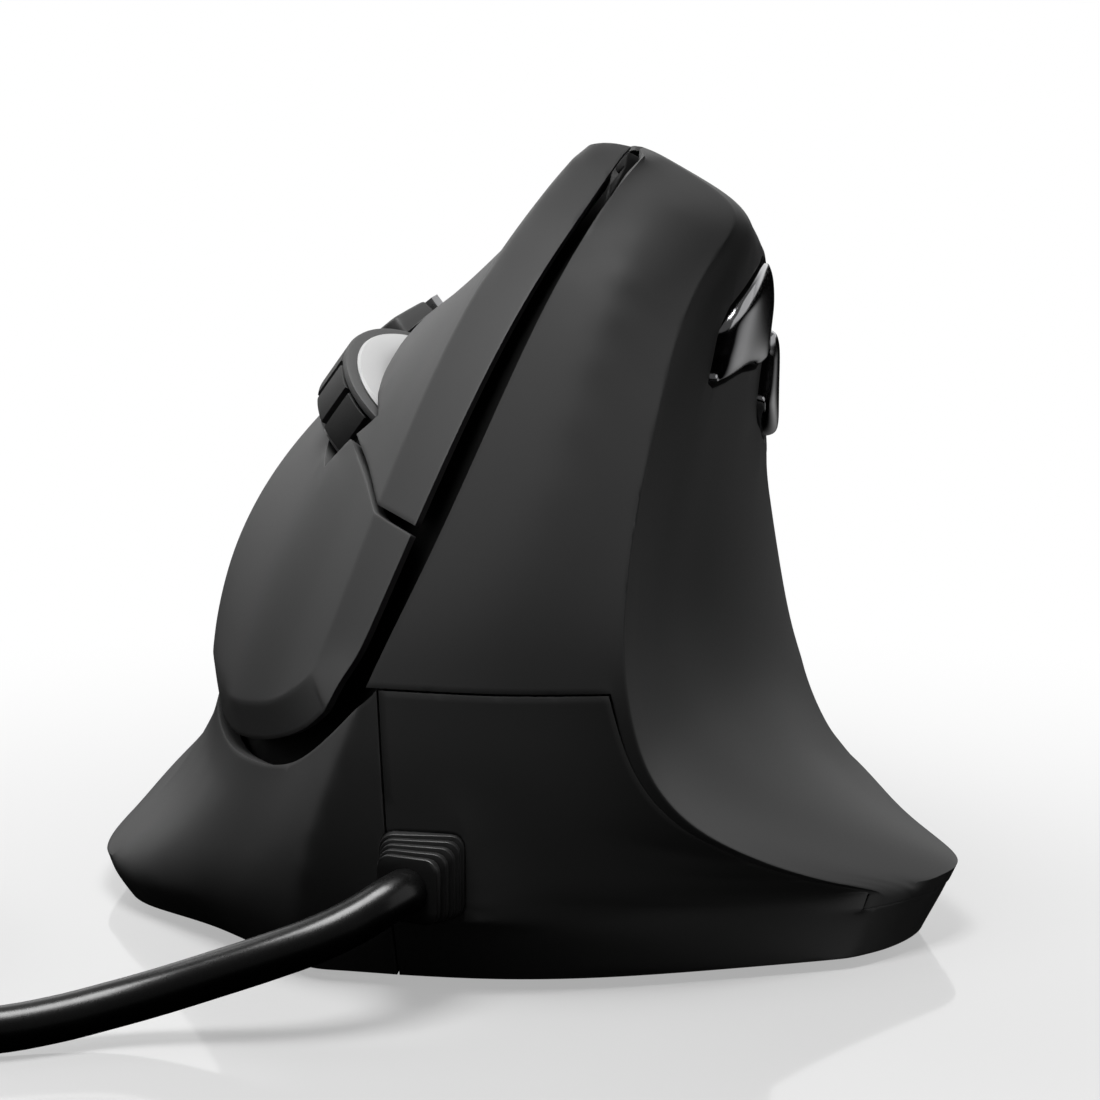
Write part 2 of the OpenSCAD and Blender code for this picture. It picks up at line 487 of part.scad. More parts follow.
module thumb_side_shell() {
    color("#333333") difference() {
        union() {
            let (g = [for (c = cols) let (col = [for (z = rows) body_at(c < 2 ? c / 1.6 * band_u(z) : c, z)])
                    concat(col, [crown_tip(col[len(col) - 1])])])
                sheet(g, inset(g, function (i, j) wall
                    * (j > 20 ? 0.25 : j < 3 || j > 17 || i == len(cols) - 1 ? 0.5
                        : i == band_col || i == band_col + 1 ? 0.55 : 1)),
                    function (i, j) i >= band_col || rows[j] > seam_form_z);
            for (b = shell_bosses) let (ring = [for (q = circle_at(boss_r)) b + q])
                between([for (q = ring) [stand_x, q[0], q[1]]],
                    [for (q = ring) [thumb_x(q[0], q[1]) - wall / 2, q[0], q[1]]]);
        }
        for (o = [forward_outline, back_outline]) let (ring = side_rim(o))
            between([for (q = ring) [12 * kx, q[0], q[1]]], [for (q = ring) [26 * kx, q[0], q[1]]]);
    }
}

// Inner face of a cover, drawn back at the crown, where it faces the shell's edge
function off_crown(outer, g, c = 3) = [for (i = [0 : len(g) - 1]) let (row = g[i], d = norm(row[c] - row[0]),
        k = 1 - min(1.1 * norm(row[0] - outer[i][0]) / d, 0.6))
    [for (j = [0 : len(row) - 1]) j < c ? row[c] + k * (row[j] - row[c]) : row[j]]];
module relief_opening() {
    translate(relief_o + [0, 6, 0]) rotate([90, 0, 0])
        linear_extrude(9) polygon(rounded(relief_w + relief_fit, relief_w + relief_fit, 1.2));
}
module lower_front_panel() {
    color("#2e2e2e") difference() {
        union() {
            let (g = [for (c = cols) [for (z = panel_rows) let (a = front_u(upright_x(z) + seam_gap / 2, z))
                    body_at(c < 2 ? a + c / 1.6 * (band_u(z, seam_gap) - a) : c, z)]])
                sheet(g, inset(g, function (i, j) wall
                        * (i == len(cols) - 1 || i == band_col && j > 1 ? 0.3 : 1)),
                    function (i, j) i < band_col || j < 2);
            let (ring = [for (q = circle_at(boss_r)) panel_boss + q])
                between([for (q = ring) [q[0], rib_ys[0][0], q[1]]],
                    [for (q = ring) [q[0], front_y(q[0], q[1]) + wall / 2, q[1]]]);
        }
        relief_opening();
    }
}

module finger_side_shell() {
    color("#303030") difference() {
        union() {
            let (front = [for (f = [1, 0.6, 0.3, 0]) [for (k = side_rows)
                    let (top = seam_form_z - seam_gap / 2 - (1 - f) * (seam_form_z - side_tops[0]),
                        z = skirt_z + k * (top - skirt_z))
                    body_at(f * front_u(upright_x(z) - seam_gap / 2, z), z)]],
                side = [for (u = side_cols) [for (k = side_rows)
                    side_at(u, skirt_z + k * (through(side_tops, u) - skirt_z))]],
                all = concat(front, side), n = len(all) - 1,
                g = [for (i = [0 : n]) all[n - i]])
                sheet(g, inset(g, function (i, j) wall * (i == 0 ? 0.4 : j < 2 ? 0.7 : 1)));
            let (ring = [for (q = circle_at(boss_r)) [side_post_y, side_boss_z] + q])
                between([for (q = ring) [side_x(q[0], q[1]) + wall / 2, q[0], q[1]]],
                    [for (q = ring) [side_post_x, q[0], q[1]]]);
        }
        relief_opening();
    }
}

module left_button() {
    color("#3a3a3a") difference() {
        sheet(left_grid, off_crown(left_grid, inset(left_grid, function (i, j) cover_wall
            * (i < 3 ? (j < 3 ? 0.2 : 0.4) : i == 3 ? 0.75 : 1))));
        cover_openings();
    }
}

module right_button() {
    color("#383838") difference() {
        let (n = len(right_grid[0]) - 1) sheet(right_grid, inset(right_grid, function (i, j) cover_wall
            * (i < 2 || j == n ? 0.4 : i == 2 || j == n - 1 ? 0.6 : i == 3 || j == n - 2 ? 0.8 : 1)));
        cover_openings();
    }
}

module palm_cover() {
    color("#3a3a3a") difference() {
        union() {
            sheet(palm_grid, off_crown(palm_grid, inset(palm_grid, function (i, j) cover_wall
                * (j == len(palm_ts) || i == len(palm_ss) ? 0.5 : 1))));
            for (p = palm_posts) let (ring = [for (q = circle_at(boss_r)) [p[0] * kx, p[1] * ky] + q])
                between([for (q = ring) [q[0], q[1], palm_post_z]],
                    [for (q = ring) [q[0], q[1], cover_mid_z(q[0], q[1])]]);
        }
        for (p = palm_posts) translate([p[0] * kx, p[1] * ky, palm_post_z - 1])
            cylinder(h = post_bite + head_t + 1.6, d = screw_d + pilot_fit);
    }
}

// Liner of the dark groove round the covers
function flat(n) = unit([n[0], n[1], 0]);
module button_frame() {
    front = [for (t = [0.06, 0.16, 0.28, 0.44, 0.6, 0.8, 0.95])
            let (e = cover_at(0, t) + bevel_front(t), z = e[2] / kz)
        [body_at(0.12, min(z, 70)) + [0.5 + 1.8 * t, wall + frame_t + 0.9, 0],
            e + [0.5 + 1.8 * t, frame_t + 2.9, -0.6],
            cover_at(0.6, t) - (cover_wall + frame_t + 2.2) * cover_normal(0.6, t)]];
    along = [0.25, 1, 2, 2.85, 3.6, 4.05, 4.75, 5.5];
    foot = [for (s = [0.6, 1, 1.6, 2, 2.6, 3.2, 4, 5, 6, 6.7]) let (u = through(along, s),
            top = through(side_tops, u), e = cover_at(s, 1) + bevel_foot(s), n = cover_normal(s, 0.9))
        [side_at(u, top) - (wall + frame_t + 0.45) * flat(n) - [0, 0, 2.4],
            e - (cover_wall + frame_t + 0.5) * flat(n) + [0, 0, 0.4],
            cover_at(s, 0.9) - (cover_wall + frame_t + 1.4) * n]];
    g = concat(front, foot);
    color("#141414") sheet(g, inset(g, function (i, j) frame_t));
}

module base_plate() {
    loop = concat([for (u = [0 : 0.25 : 6.75]) body_at(u, skirt_z)],
        [for (u = [6 : -0.25 : 0.25]) side_at(u, skirt_z)]);
    n = len(loop);
    plan = [for (i = [0 : n - 1]) let (d = unit(loop[(i + 1) % n] - loop[(i + n - 1) % n]))
        [loop[i][0], loop[i][1]] + (wall + base_fit) * [-d[1], d[0]]];
    color("#262626") difference() {
        union() {
            translate([0, 0, base_z]) linear_extrude(base_t) polygon(plan);
            for (p = pcb_posts) translate([p[0], p[1], base_top]) cylinder(h = pcb_rise, r = foot_post_r);
            for (p = palm_posts) translate([p[0] * kx, p[1] * ky, base_top])
                cylinder(h = palm_post_z - base_top, r = foot_post_r + 0.6);
            block([side_post_x, side_post_x + 2.4], span(side_post_y, 4), [base_top, side_boss_z + 3]);
        }
        translate([sensor_at[0], sensor_at[1], 0])
            linear_extrude(2 * base_top) polygon(rounded(lens_w, lens_l, 1));
        for (p = pcb_posts) translate([p[0], p[1], base_top]) cylinder(h = pcb_rise + 1, d = screw_d + 0.04);
        for (p = concat(stand_feet, [for (q = palm_posts) [q[0] * kx, q[1] * ky]])) {
            translate([p[0], p[1], 0]) cylinder(h = base_z + head_t + 0.1, d = head_d + 0.4);
            translate([p[0], p[1], 0]) cylinder(h = palm_post_z + 1, d = screw_d + screw_clear);
        }
    }
}

module glide_feet() {
    color("#0e0e0e") {
        translate([2, -41 * ky, 0]) linear_extrude(foot_t) polygon(rounded(34, 7, 3.4));
        translate([-23 * kx, 26 * ky, 0]) linear_extrude(foot_t) polygon(rounded(7, 20, 3.4));
        translate([13 * kx, 28 * ky, 0]) linear_extrude(foot_t) polygon(rounded(7, 20, 3.4));
    }
}

module screw(shank) {
    cylinder(h = head_t, d = head_d);
    cylinder(h = head_t + shank, d = screw_d);
}

module base_screws() {
    color("#8c8c8c") {
        for (p = stand_feet) translate([p[0], p[1], base_z + 0.1]) screw(8);
        for (p = palm_posts) translate([p[0] * kx, p[1] * ky, base_z + 0.1])
            screw(palm_post_z + post_bite - base_z);
    }
}

module inner_stand() {
    ring = function (y) [[-9 * kx, y, base_top], [stand_x, y, base_top], [stand_x, y, stand_top],
        [9.4 * kx, y, stand_top], [8.4 * kx, y, board_back_z(8.4 * kx, y) - board_fit],
        [-12 * kx, y, board_back_z(-12 * kx, y) - board_fit]];
    color("#1d1d1d") difference() {
        union() {
            for (r = rib_ys) between(ring(r[1]), ring(r[0]));
            block([-9 * kx, stand_x], [rib_ys[0][0], rib_ys[1][1]], [base_top, base_top + 1.6]);
            for (p = stand_feet) translate([p[0], p[1], base_top]) cylinder(h = 9, r = foot_post_r);
        }
        for (p = stand_feet) translate([p[0], p[1], 0])
            cylinder(h = base_z + 0.1 + head_t + 8.4, d = screw_d + 0.04);
        for (p = [lead_route[3], lead_end - [0, 4, 0]]) translate([p[0] - 0.2, p[1] - 5, p[2]])
            rotate([-90, 0, 0]) cylinder(h = 9, d = lead_d + 3.4);
        at_wheel() block([-1, 1] * (cheek_out + 0.8), [-12, wheel_r + 1], [holder_floor - 3.2, 0]);
    }
}

module upper_pcb() {
    color("#2c5a35") at_board() difference() {
        block(upper_x, upper_y, [-upper_depth - pcb_t, -upper_depth]);
        block(span(board_cut_x, board_cut), [upper_y[0] - 1, wheel_r + 2],
            [-upper_depth - pcb_t - 1, 1 - upper_depth]);
    }
}

// Switch under a button, its plunger reaching up to the press gap
function cover_under(x, y, s = 2.3, t = 0.5, n = 6) =
    n == 0 ? to_board(cover_at(s, t) - cover_wall * cover_normal(s, t))
    : let (q = to_board(cover_at(s, t)), a = to_board(cover_at(s + 0.02, t)) - q,
        b = to_board(cover_at(s, t + 0.02)) - q, d = a[0] * b[1] - a[1] * b[0], ex = x - q[0], ey = y - q[1])
    cover_under(x, y, s + 0.02 * (ex * b[1] - ey * b[0]) / d, t + 0.02 * (ey * a[0] - ex * a[1]) / d, n - 1);
module button_switch(x) {
    tip = cover_under(x, 0)[2] - press_gap - 0.4;
    color("#202020") at_board() union() {
        block(span(x, 2.9), [-6.4, 6.4], [-upper_depth, switch_h - upper_depth]);
        block(span(x, 0.8), [-1.4, 1.4], [switch_h - upper_depth - 0.5, tip]);
    }
}
module left_switch() {
    button_switch(switch_x);
}
module right_switch() {
    button_switch(-switch_x);
}

// Arm of the wheel holder over the middle switch, and its underside seen from the board
arm_z = axle_z - 1.3;
arm_y = [7.4, 13];
middle_x = -9.2;
arm_under = let (x = (middle_x + arm_z * sin(wheel_lean)) / cos(wheel_lean))
    x * sin(wheel_lean) + arm_z * cos(wheel_lean);
module middle_switch() {
    tip = arm_under - press_gap - 0.3;
    color("#202020") at_board() union() {
        block(span(middle_x, 1.8), arm_y, [-upper_depth, tip - 0.6]);
        translate([middle_x, (arm_y[0] + arm_y[1]) / 2, tip - 1]) cylinder(h = 1, d = 1.6);
    }
}

module dpi_switch() {
    color("#202020") at_board() union() {
        block(span(dpi_base[0], 2.6), span(dpi_base[1], 2.6), [-upper_depth, 3.6 - upper_depth]);
        translate([dpi_base[0], dpi_base[1], 3 - upper_depth])
            cylinder(h = dpi_base[2] - press_gap - 0.6 - 3 + upper_depth, d = 3);
    }
}

module dpi_button() {
    l = dpi_l - 1.1;
    color("#2a2a2a") at_dpi() between(
        [for (q = rounded(dpi_w, l, 0.8, 2)) [q[0], q[1] - 0.55, dpi_low]],
        [for (q = rounded(dpi_w - 0.8, l - 0.8, 0.8, 2)) [q[0], q[1] - 0.55, dpi_proud]]);
}

module dpi_trim() {
    color("#d0d0d0") at_dpi()
        block([-1, 1] * (dpi_w / 2 - 0.3), [dpi_l / 2 - 1.1, dpi_l / 2], [dpi_low, dpi_proud - 0.2]);
}

module wheel_hub() {
    color("#c8c8c8") at_wheel() translate([0, 0, axle_z]) rotate([0, 90, 0]) difference() {
        union() {
            translate([0, 0, -cheek_out - 0.4]) cylinder(h = 2 * cheek_out + 3, d = axle_d);
            translate([0, 0, -wheel_w / 2]) cylinder(h = wheel_w, r = hub_r);
            translate([0, 0, -wheel_w / 2 - disc_t]) cylinder(h = disc_t, r = wheel_r - 0.5);
            translate([0, 0, wheel_w / 2]) cylinder(h = disc_t, r = wheel_r - 1.4);
        }
        translate([0, 0, wheel_w / 2 - 0.8]) difference() {
            cylinder(h = 3, r = 3.2);
            cylinder(h = 3, d = axle_d);
        }
    }
}

module wheel_tyre() {
    color("#3c3c3c") at_wheel() translate([0, 0, axle_z]) rotate([0, 90, 0]) difference() {
        translate([0, 0, -wheel_w / 2]) cylinder(h = wheel_w, r = wheel_r);
        translate([0, 0, -wheel_w]) cylinder(h = 2 * wheel_w, r = hub_r);
        for (k = [0 : tread_blocks - 1]) rotate([0, 0, 360 * (k + 0.5) / tread_blocks])
            translate([wheel_r - tread_depth, -tread_gap / 2, -wheel_w]) cube([3, tread_gap, 2 * wheel_w]);
        translate([0, 0, wheel_w / 2 - 1]) difference() {
            cylinder(h = 0.4, r = wheel_r + 1);
            cylinder(h = 0.4, r = wheel_r - tread_depth);
        }
    }
}

module wheel_holder() {
    color("#151515") at_wheel() difference() {
        union() {
            for (x = [[-cheek_out, -cheek_in], [cheek_in, cheek_out]])
                block(x, [-holder_y, holder_y], [holder_floor - 1.6, holder_top]);
            block([-cheek_out, cheek_out], [-holder_y, holder_y], [holder_floor - 1.6, holder_floor]);
            block([-cheek_out - 1.6, -cheek_out + 0.4], [1, arm_y[1]], [arm_z, arm_z + 1.2]);
            block([middle_x - 1.8, -cheek_out], arm_y, [arm_z, arm_z + 1.2]);
        }
        translate([-20, 0, axle_z]) rotate([0, 90, 0]) cylinder(h = 40, d = axle_d + 2 * axle_clear);
    }
}

module wheel_encoder() {
    color("#3f6fa8") at_wheel() difference() {
        block([cheek_out, cheek_out + encoder_t], [-3, 3], [axle_z - 5, holder_top]);
        translate([0, 0, axle_z]) rotate([0, 90, 0]) cylinder(h = 40, d = axle_d + 2 * axle_clear);
    }
}

module forward_button() {
    g = side_grid(forward_outline);
    color("#101010") sheet(g, [for (row = g) [for (q = row) q - [side_wall, 0, 0]]]);
}

module back_button() {
    g = side_grid(back_outline);
    color("#101010") sheet(g, [for (row = g) [for (q = row) q - [side_wall, 0, 0]]]);
}

module side_pcb() {
    color("#2c5a35") block([stand_x, stand_x + pcb_t], [rib_ys[0][0], 1 * ky], [42 * kz, 55.4 * kz]);
}

module side_switches() {
    color("#202020") for (p = side_switch_at) let (y = p[0] * ky, z = p[1] * kz, x = stand_x + pcb_t,
            tip = thumb_x(y, z) + side_proud * p[2] - side_wall - press_gap - 0.5) union() {
        block([x, x + 2], span(y, 3), span(z, 3));
        translate([x + 1.6, y, z]) rotate([0, 90, 0]) cylinder(h = tip - x - 1.6, d = 2.6);
    }
}

module main_pcb() {
    color("#2c5a35") difference() {
        block([-15, 14], [pcb_y, pcb_y + pcb_l], [pcb_z, pcb_top]);
        translate([sensor_at[0], sensor_at[1], pcb_z - 1])
            linear_extrude(pcb_t + 2) polygon(rounded(6, 6, 0.5));
        for (p = pcb_posts) translate([p[0], p[1], pcb_z - 1])
            cylinder(h = pcb_t + 2, d = screw_d + screw_clear);
    }
}

module pcb_screws() {
    color("#8c8c8c") for (p = pcb_posts)
        translate([p[0], p[1], pcb_top + head_t]) rotate([180, 0, 0]) screw(5);
}

module sensor_chip() {
    color("#181818") block(span(sensor_at[0], 6), span(sensor_at[1], 4.6), [pcb_top, pcb_top + 2]);
}

module sensor_lens() {
    color("#d8e4e8") translate([sensor_at[0], sensor_at[1], 0]) {
        translate([0, 0, base_z + 0.4])
            linear_extrude(base_t - 0.4) polygon(rounded(lens_w - 0.3, lens_l - 0.3, 0.9));
        translate([0, 0, base_top]) linear_extrude(1.2) polygon(rounded(lens_w + 5, lens_l + 3, 1));
        translate([0, 0, base_top]) cylinder(h = pcb_rise, r = 2.6);
    }
}

module sensor_led() {
    color("#c03020") translate([sensor_at[0], sensor_at[1] + 7.4, pcb_top]) {
        cylinder(h = 3, r = 1.5);
        translate([0, 0, 3]) sphere(r = 1.5);
    }
}

module controller_chip() {
    color("#181818") block([-12, -4.6], [pcb_y + 27, pcb_y + 36.8], [pcb_top, pcb_top + 1.5]);
}

module cable_connector() {
    color("#e6e2d6") block([-5, 5], [pcb_y, pcb_y + 5], [pcb_top, pcb_top + 4.8]);
}

module inner_lead() {
    color("#0d0d0d")
        tube([for (k = [0 : 24]) through(lead_route, k / 24 * (len(lead_route) - 1))], lead_d / 2, 8);
}

module ribbon_cable() {
    x = [-10.4, -9.8];
    y = [pcb_y + 1.4, pcb_y + 9.4];
    ring = [[x[0], y[0]], [x[1], y[0]], [x[1], y[1]], [x[0], y[1]]];
    color("#b8b8b8") between([for (q = ring) [q[0], q[1], pcb_top]],
        [for (q = ring) [q[0], q[1], board_back_z(q[0], q[1])]]);
}

module strain_relief() {
    tip_k = relief_steps - 1;
    color("#111111") union() {
        translate(relief_o + [0, 3.4, 0]) rotate([90, 0, 0])
            linear_extrude(3.4 + relief_step * relief_plate / 2) polygon(rounded(relief_w, relief_w, 1.2));
        translate(relief_o + [0, 4.6, 0]) rotate([90, 0, 0])
            linear_extrude(1.4) polygon(rounded(relief_w + 2.4, relief_w + 2.4, 1.2));
        for (k = [1 : tip_k]) let (w = relief_w + (relief_tip_w - relief_w) * k / tip_k)
            translate(relief_at(k)) rotate([90, 0, -relief_turn * k]) {
                translate([0, 0, -relief_step * relief_plate / 2])
                    linear_extrude(relief_step * relief_plate) polygon(rounded(w, w, 1.1));
                translate([0, 0, -relief_step]) linear_extrude(relief_step) polygon(rounded(4.8, 4.8, 1.4));
            }
    }
}

module cord() {
    n = len(cord_route) - 1;
    color("#0d0d0d") tube([for (k = [0 : 3 * n]) through(cord_route, k / 3)], cord_d / 2, 8);
}

module cord_coil() {
    gaps = [for (i = [0 : len(coil_pts) - 1]) for (j = [0 : len(coil_pts) - 2]) if (abs(i - j) > 12)
        let (a = coil_pts[j], d = coil_pts[j + 1] - a, k = min(max((coil_pts[i] - a) * d / (d * d), 0), 1))
        norm(coil_pts[i] - a - k * d) - cord_d];
    run = function (pts) [for (i = [1 : len(pts) - 1]) norm(pts[i] - pts[i - 1])]
        * [for (i = [1 : len(pts) - 1]) 1];
    echo(coil_gap = min(gaps), cord_length = run(coil_pts) + run(cord_route));
    color("#0d0d0d") tube(coil_pts, cord_d / 2, 6);
}

module cord_tie() {
    low = coil_r - coil_pitch * coil_turns - cord_d / 2 - 0.6;
    high = coil_r + cord_d / 2 + 0.4;
    top = coil_z + coil_layer + cord_d / 2 + 0.4;
    color("#1a1a1a") translate([coil_o[0], coil_o[1], 0]) rotate([0, 0, tie_turn]) difference() {
        block([low - tie_t, high + tie_t], [-2.5, 2.5], [0, top + tie_t]);
        block([low, high], [-5, 5], [tie_t, top]);
    }
}

module usb_plug_body() {
    color("#0d0d0d") translate(plug_o) rotate([-90, 0, plug_turn]) union() {
        linear_extrude(7) polygon(rounded(9, 6.4, 2));
        translate([0, 0, 6]) linear_extrude(plug_l - 6) polygon(rounded(plug_w, plug_h, 2));
    }
}

module usb_plug_shell() {
    color("#c0c4c8") translate(plug_o + plug_l * tail_dir) rotate([-90, 0, plug_turn]) difference() {
        linear_extrude(usb_l) polygon(rounded(usb_w, usb_h, 0.5, 2));
        translate([0, 0, 1])
            linear_extrude(usb_l) polygon(rounded(usb_w - 2 * usb_t, usb_h - 2 * usb_t, 0.4, 2));
    }
}

module usb_plug_tongue() {
    color("#f0f0f0") translate(plug_o) rotate([0, 0, plug_turn])
        translate([-usb_w / 2 + usb_t + 0.4, plug_l + 1, usb_h / 2 - usb_t - 1.9])
        cube([usb_w - 2 * usb_t - 0.8, usb_l - 2, 1.9]);
}

thumb_side_shell();
lower_front_panel();
finger_side_shell();
left_button();
right_button();
palm_cover();
button_frame();
base_plate();
glide_feet();
base_screws();
inner_stand();
upper_pcb();
left_switch();
right_switch();
middle_switch();
dpi_switch();
dpi_button();
dpi_trim();
wheel_hub();
wheel_tyre();
wheel_holder();
wheel_encoder();
forward_button();
back_button();
side_pcb();
side_switches();
main_pcb();
pcb_screws();
sensor_chip();
sensor_lens();
sensor_led();
controller_chip();
cable_connector();
inner_lead();
ribbon_cable();
strain_relief();
cord();
cord_coil();
cord_tie();
usb_plug_body();
usb_plug_shell();
usb_plug_tongue();
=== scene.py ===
import json
import math

import bmesh
import bpy
from mathutils import Matrix, Vector


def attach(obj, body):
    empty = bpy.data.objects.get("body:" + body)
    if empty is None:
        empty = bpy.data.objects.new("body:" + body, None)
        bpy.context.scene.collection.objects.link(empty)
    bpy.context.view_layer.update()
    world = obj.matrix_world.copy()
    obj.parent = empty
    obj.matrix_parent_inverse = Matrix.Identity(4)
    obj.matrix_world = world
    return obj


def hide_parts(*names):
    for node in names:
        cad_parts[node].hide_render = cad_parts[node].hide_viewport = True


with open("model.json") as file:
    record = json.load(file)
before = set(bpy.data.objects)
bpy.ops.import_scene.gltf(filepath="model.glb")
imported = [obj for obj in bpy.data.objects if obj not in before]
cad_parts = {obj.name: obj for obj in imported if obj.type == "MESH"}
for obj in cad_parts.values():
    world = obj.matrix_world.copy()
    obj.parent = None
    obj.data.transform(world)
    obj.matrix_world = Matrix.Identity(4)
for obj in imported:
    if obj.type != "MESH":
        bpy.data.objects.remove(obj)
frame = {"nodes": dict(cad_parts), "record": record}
nodes = frame["nodes"]
scene = bpy.context.scene
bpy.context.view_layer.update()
scene.view_settings.view_transform = "Standard"
mm = 0.001
print("frame loaded:", len(nodes), "nodes")

# camera, matched to the photograph's view of the cord end
shot = {
    "target": (3.3, -37.0, 35.0),  # mm, and so is the distance
    "azimuth": 6.0,
    "elevation": 12.5,
    "distance": 500.0,
    "lens": 185.4,
    "sensor": 36.0,
    "shiftY": 0.0091,
    "clipStart": 0.01,  # m
}


def placeCamera(look):
    azimuth = math.radians(look["azimuth"])
    elevation = math.radians(look["elevation"])
    level = math.cos(elevation)
    away = Vector((math.sin(azimuth) * level, -math.cos(azimuth) * level, math.sin(elevation)))
    data = bpy.data.cameras.new("camera")
    data.lens = look["lens"]
    data.sensor_width = look["sensor"]
    data.shift_y = look["shiftY"]
    data.clip_start = look["clipStart"]
    camera = bpy.data.objects.new("camera", data)
    camera.location = (Vector(look["target"]) + look["distance"] * away) * mm
    camera.rotation_euler = away.to_track_quat("Z", "Y").to_euler()
    scene.collection.objects.link(camera)
    scene.camera = camera


placeCamera(shot)


# materials: hex to linear colour, and one function that adds a node with its settings and links
def hexColour(text):
    values = [int(text[i:i + 2], 16) / 255 for i in (1, 3, 5)]
    linear = [v / 12.92 if v <= 0.04045 else ((v + 0.055) / 1.055) ** 2.4 for v in values]
    return tuple(linear) + (1.0,)


# sockets that share a name are given by number
def addNode(tree, kind, settings=None, links=None):
    node = tree.nodes.new(kind)
    for key, value in (settings or {}).items():
        if isinstance(key, int) or key in node.inputs:
            node.inputs[key].default_value = value
        else:
            setattr(node, key, value)
    for key, (source, output) in (links or {}).items():
        tree.links.new(source.outputs[output], node.inputs[key])
    return node


def emptyTree(holder):
    holder.use_nodes = True
    holder.node_tree.nodes.clear()
    return holder.node_tree


def newMaterial(name):
    material = bpy.data.materials.new(name)
    return material, emptyTree(material)


# two colours mixed by a factor: sockets 6 and 7 take them, output 2 gives the mix
def mixTone(tree, first, second, factor):
    return addNode(tree, "ShaderNodeMix",
                   {"data_type": "RGBA", 6: hexColour(first), 7: hexColour(second)},
                   {"Factor": factor})


grainDepth = 0.3  # share of the grain's size


# a moulded or coated surface: fine grain in height and gloss, soft drift in colour
def mouldedFinish(look):
    material, tree = newMaterial(look["name"])
    place = addNode(tree, "ShaderNodeTexCoord")
    grain = addNode(tree, "ShaderNodeTexNoise",
                    {"Scale": 1 / (look["grain"] * mm), "Detail": 2.0, "Roughness": 0.6},
                    {"Vector": (place, "Object")})
    drift = addNode(tree, "ShaderNodeTexNoise",
                    {"Scale": 1 / (look["drift"] * mm), "Detail": 3.0},
                    {"Vector": (place, "Object")})
    tone = mixTone(tree, look["dark"], look["light"], (drift, "Fac"))
    gloss = addNode(tree, "ShaderNodeMapRange",
                    {"To Min": look["roughness"] - look["spread"],
                     "To Max": look["roughness"] + look["spread"]},
                    {"Value": (grain, "Fac")})
    bump = addNode(tree, "ShaderNodeBump",
                   {"Strength": look["relief"], "Distance": look["grain"] * mm * grainDepth},
                   {"Height": (grain, "Fac")})
    shader = addNode(tree, "ShaderNodeBsdfPrincipled",
                     {"IOR": 1.5, "Specular IOR Level": look.get("specular", 0.5),
                      "Metallic": look.get("metallic", 0.0)},
                     {"Base Color": (tone, 2), "Roughness": (gloss, "Result"), "Normal": (bump, "Normal")})
    addNode(tree, "ShaderNodeOutputMaterial", None, {"Surface": (shader, "BSDF")})
    return material


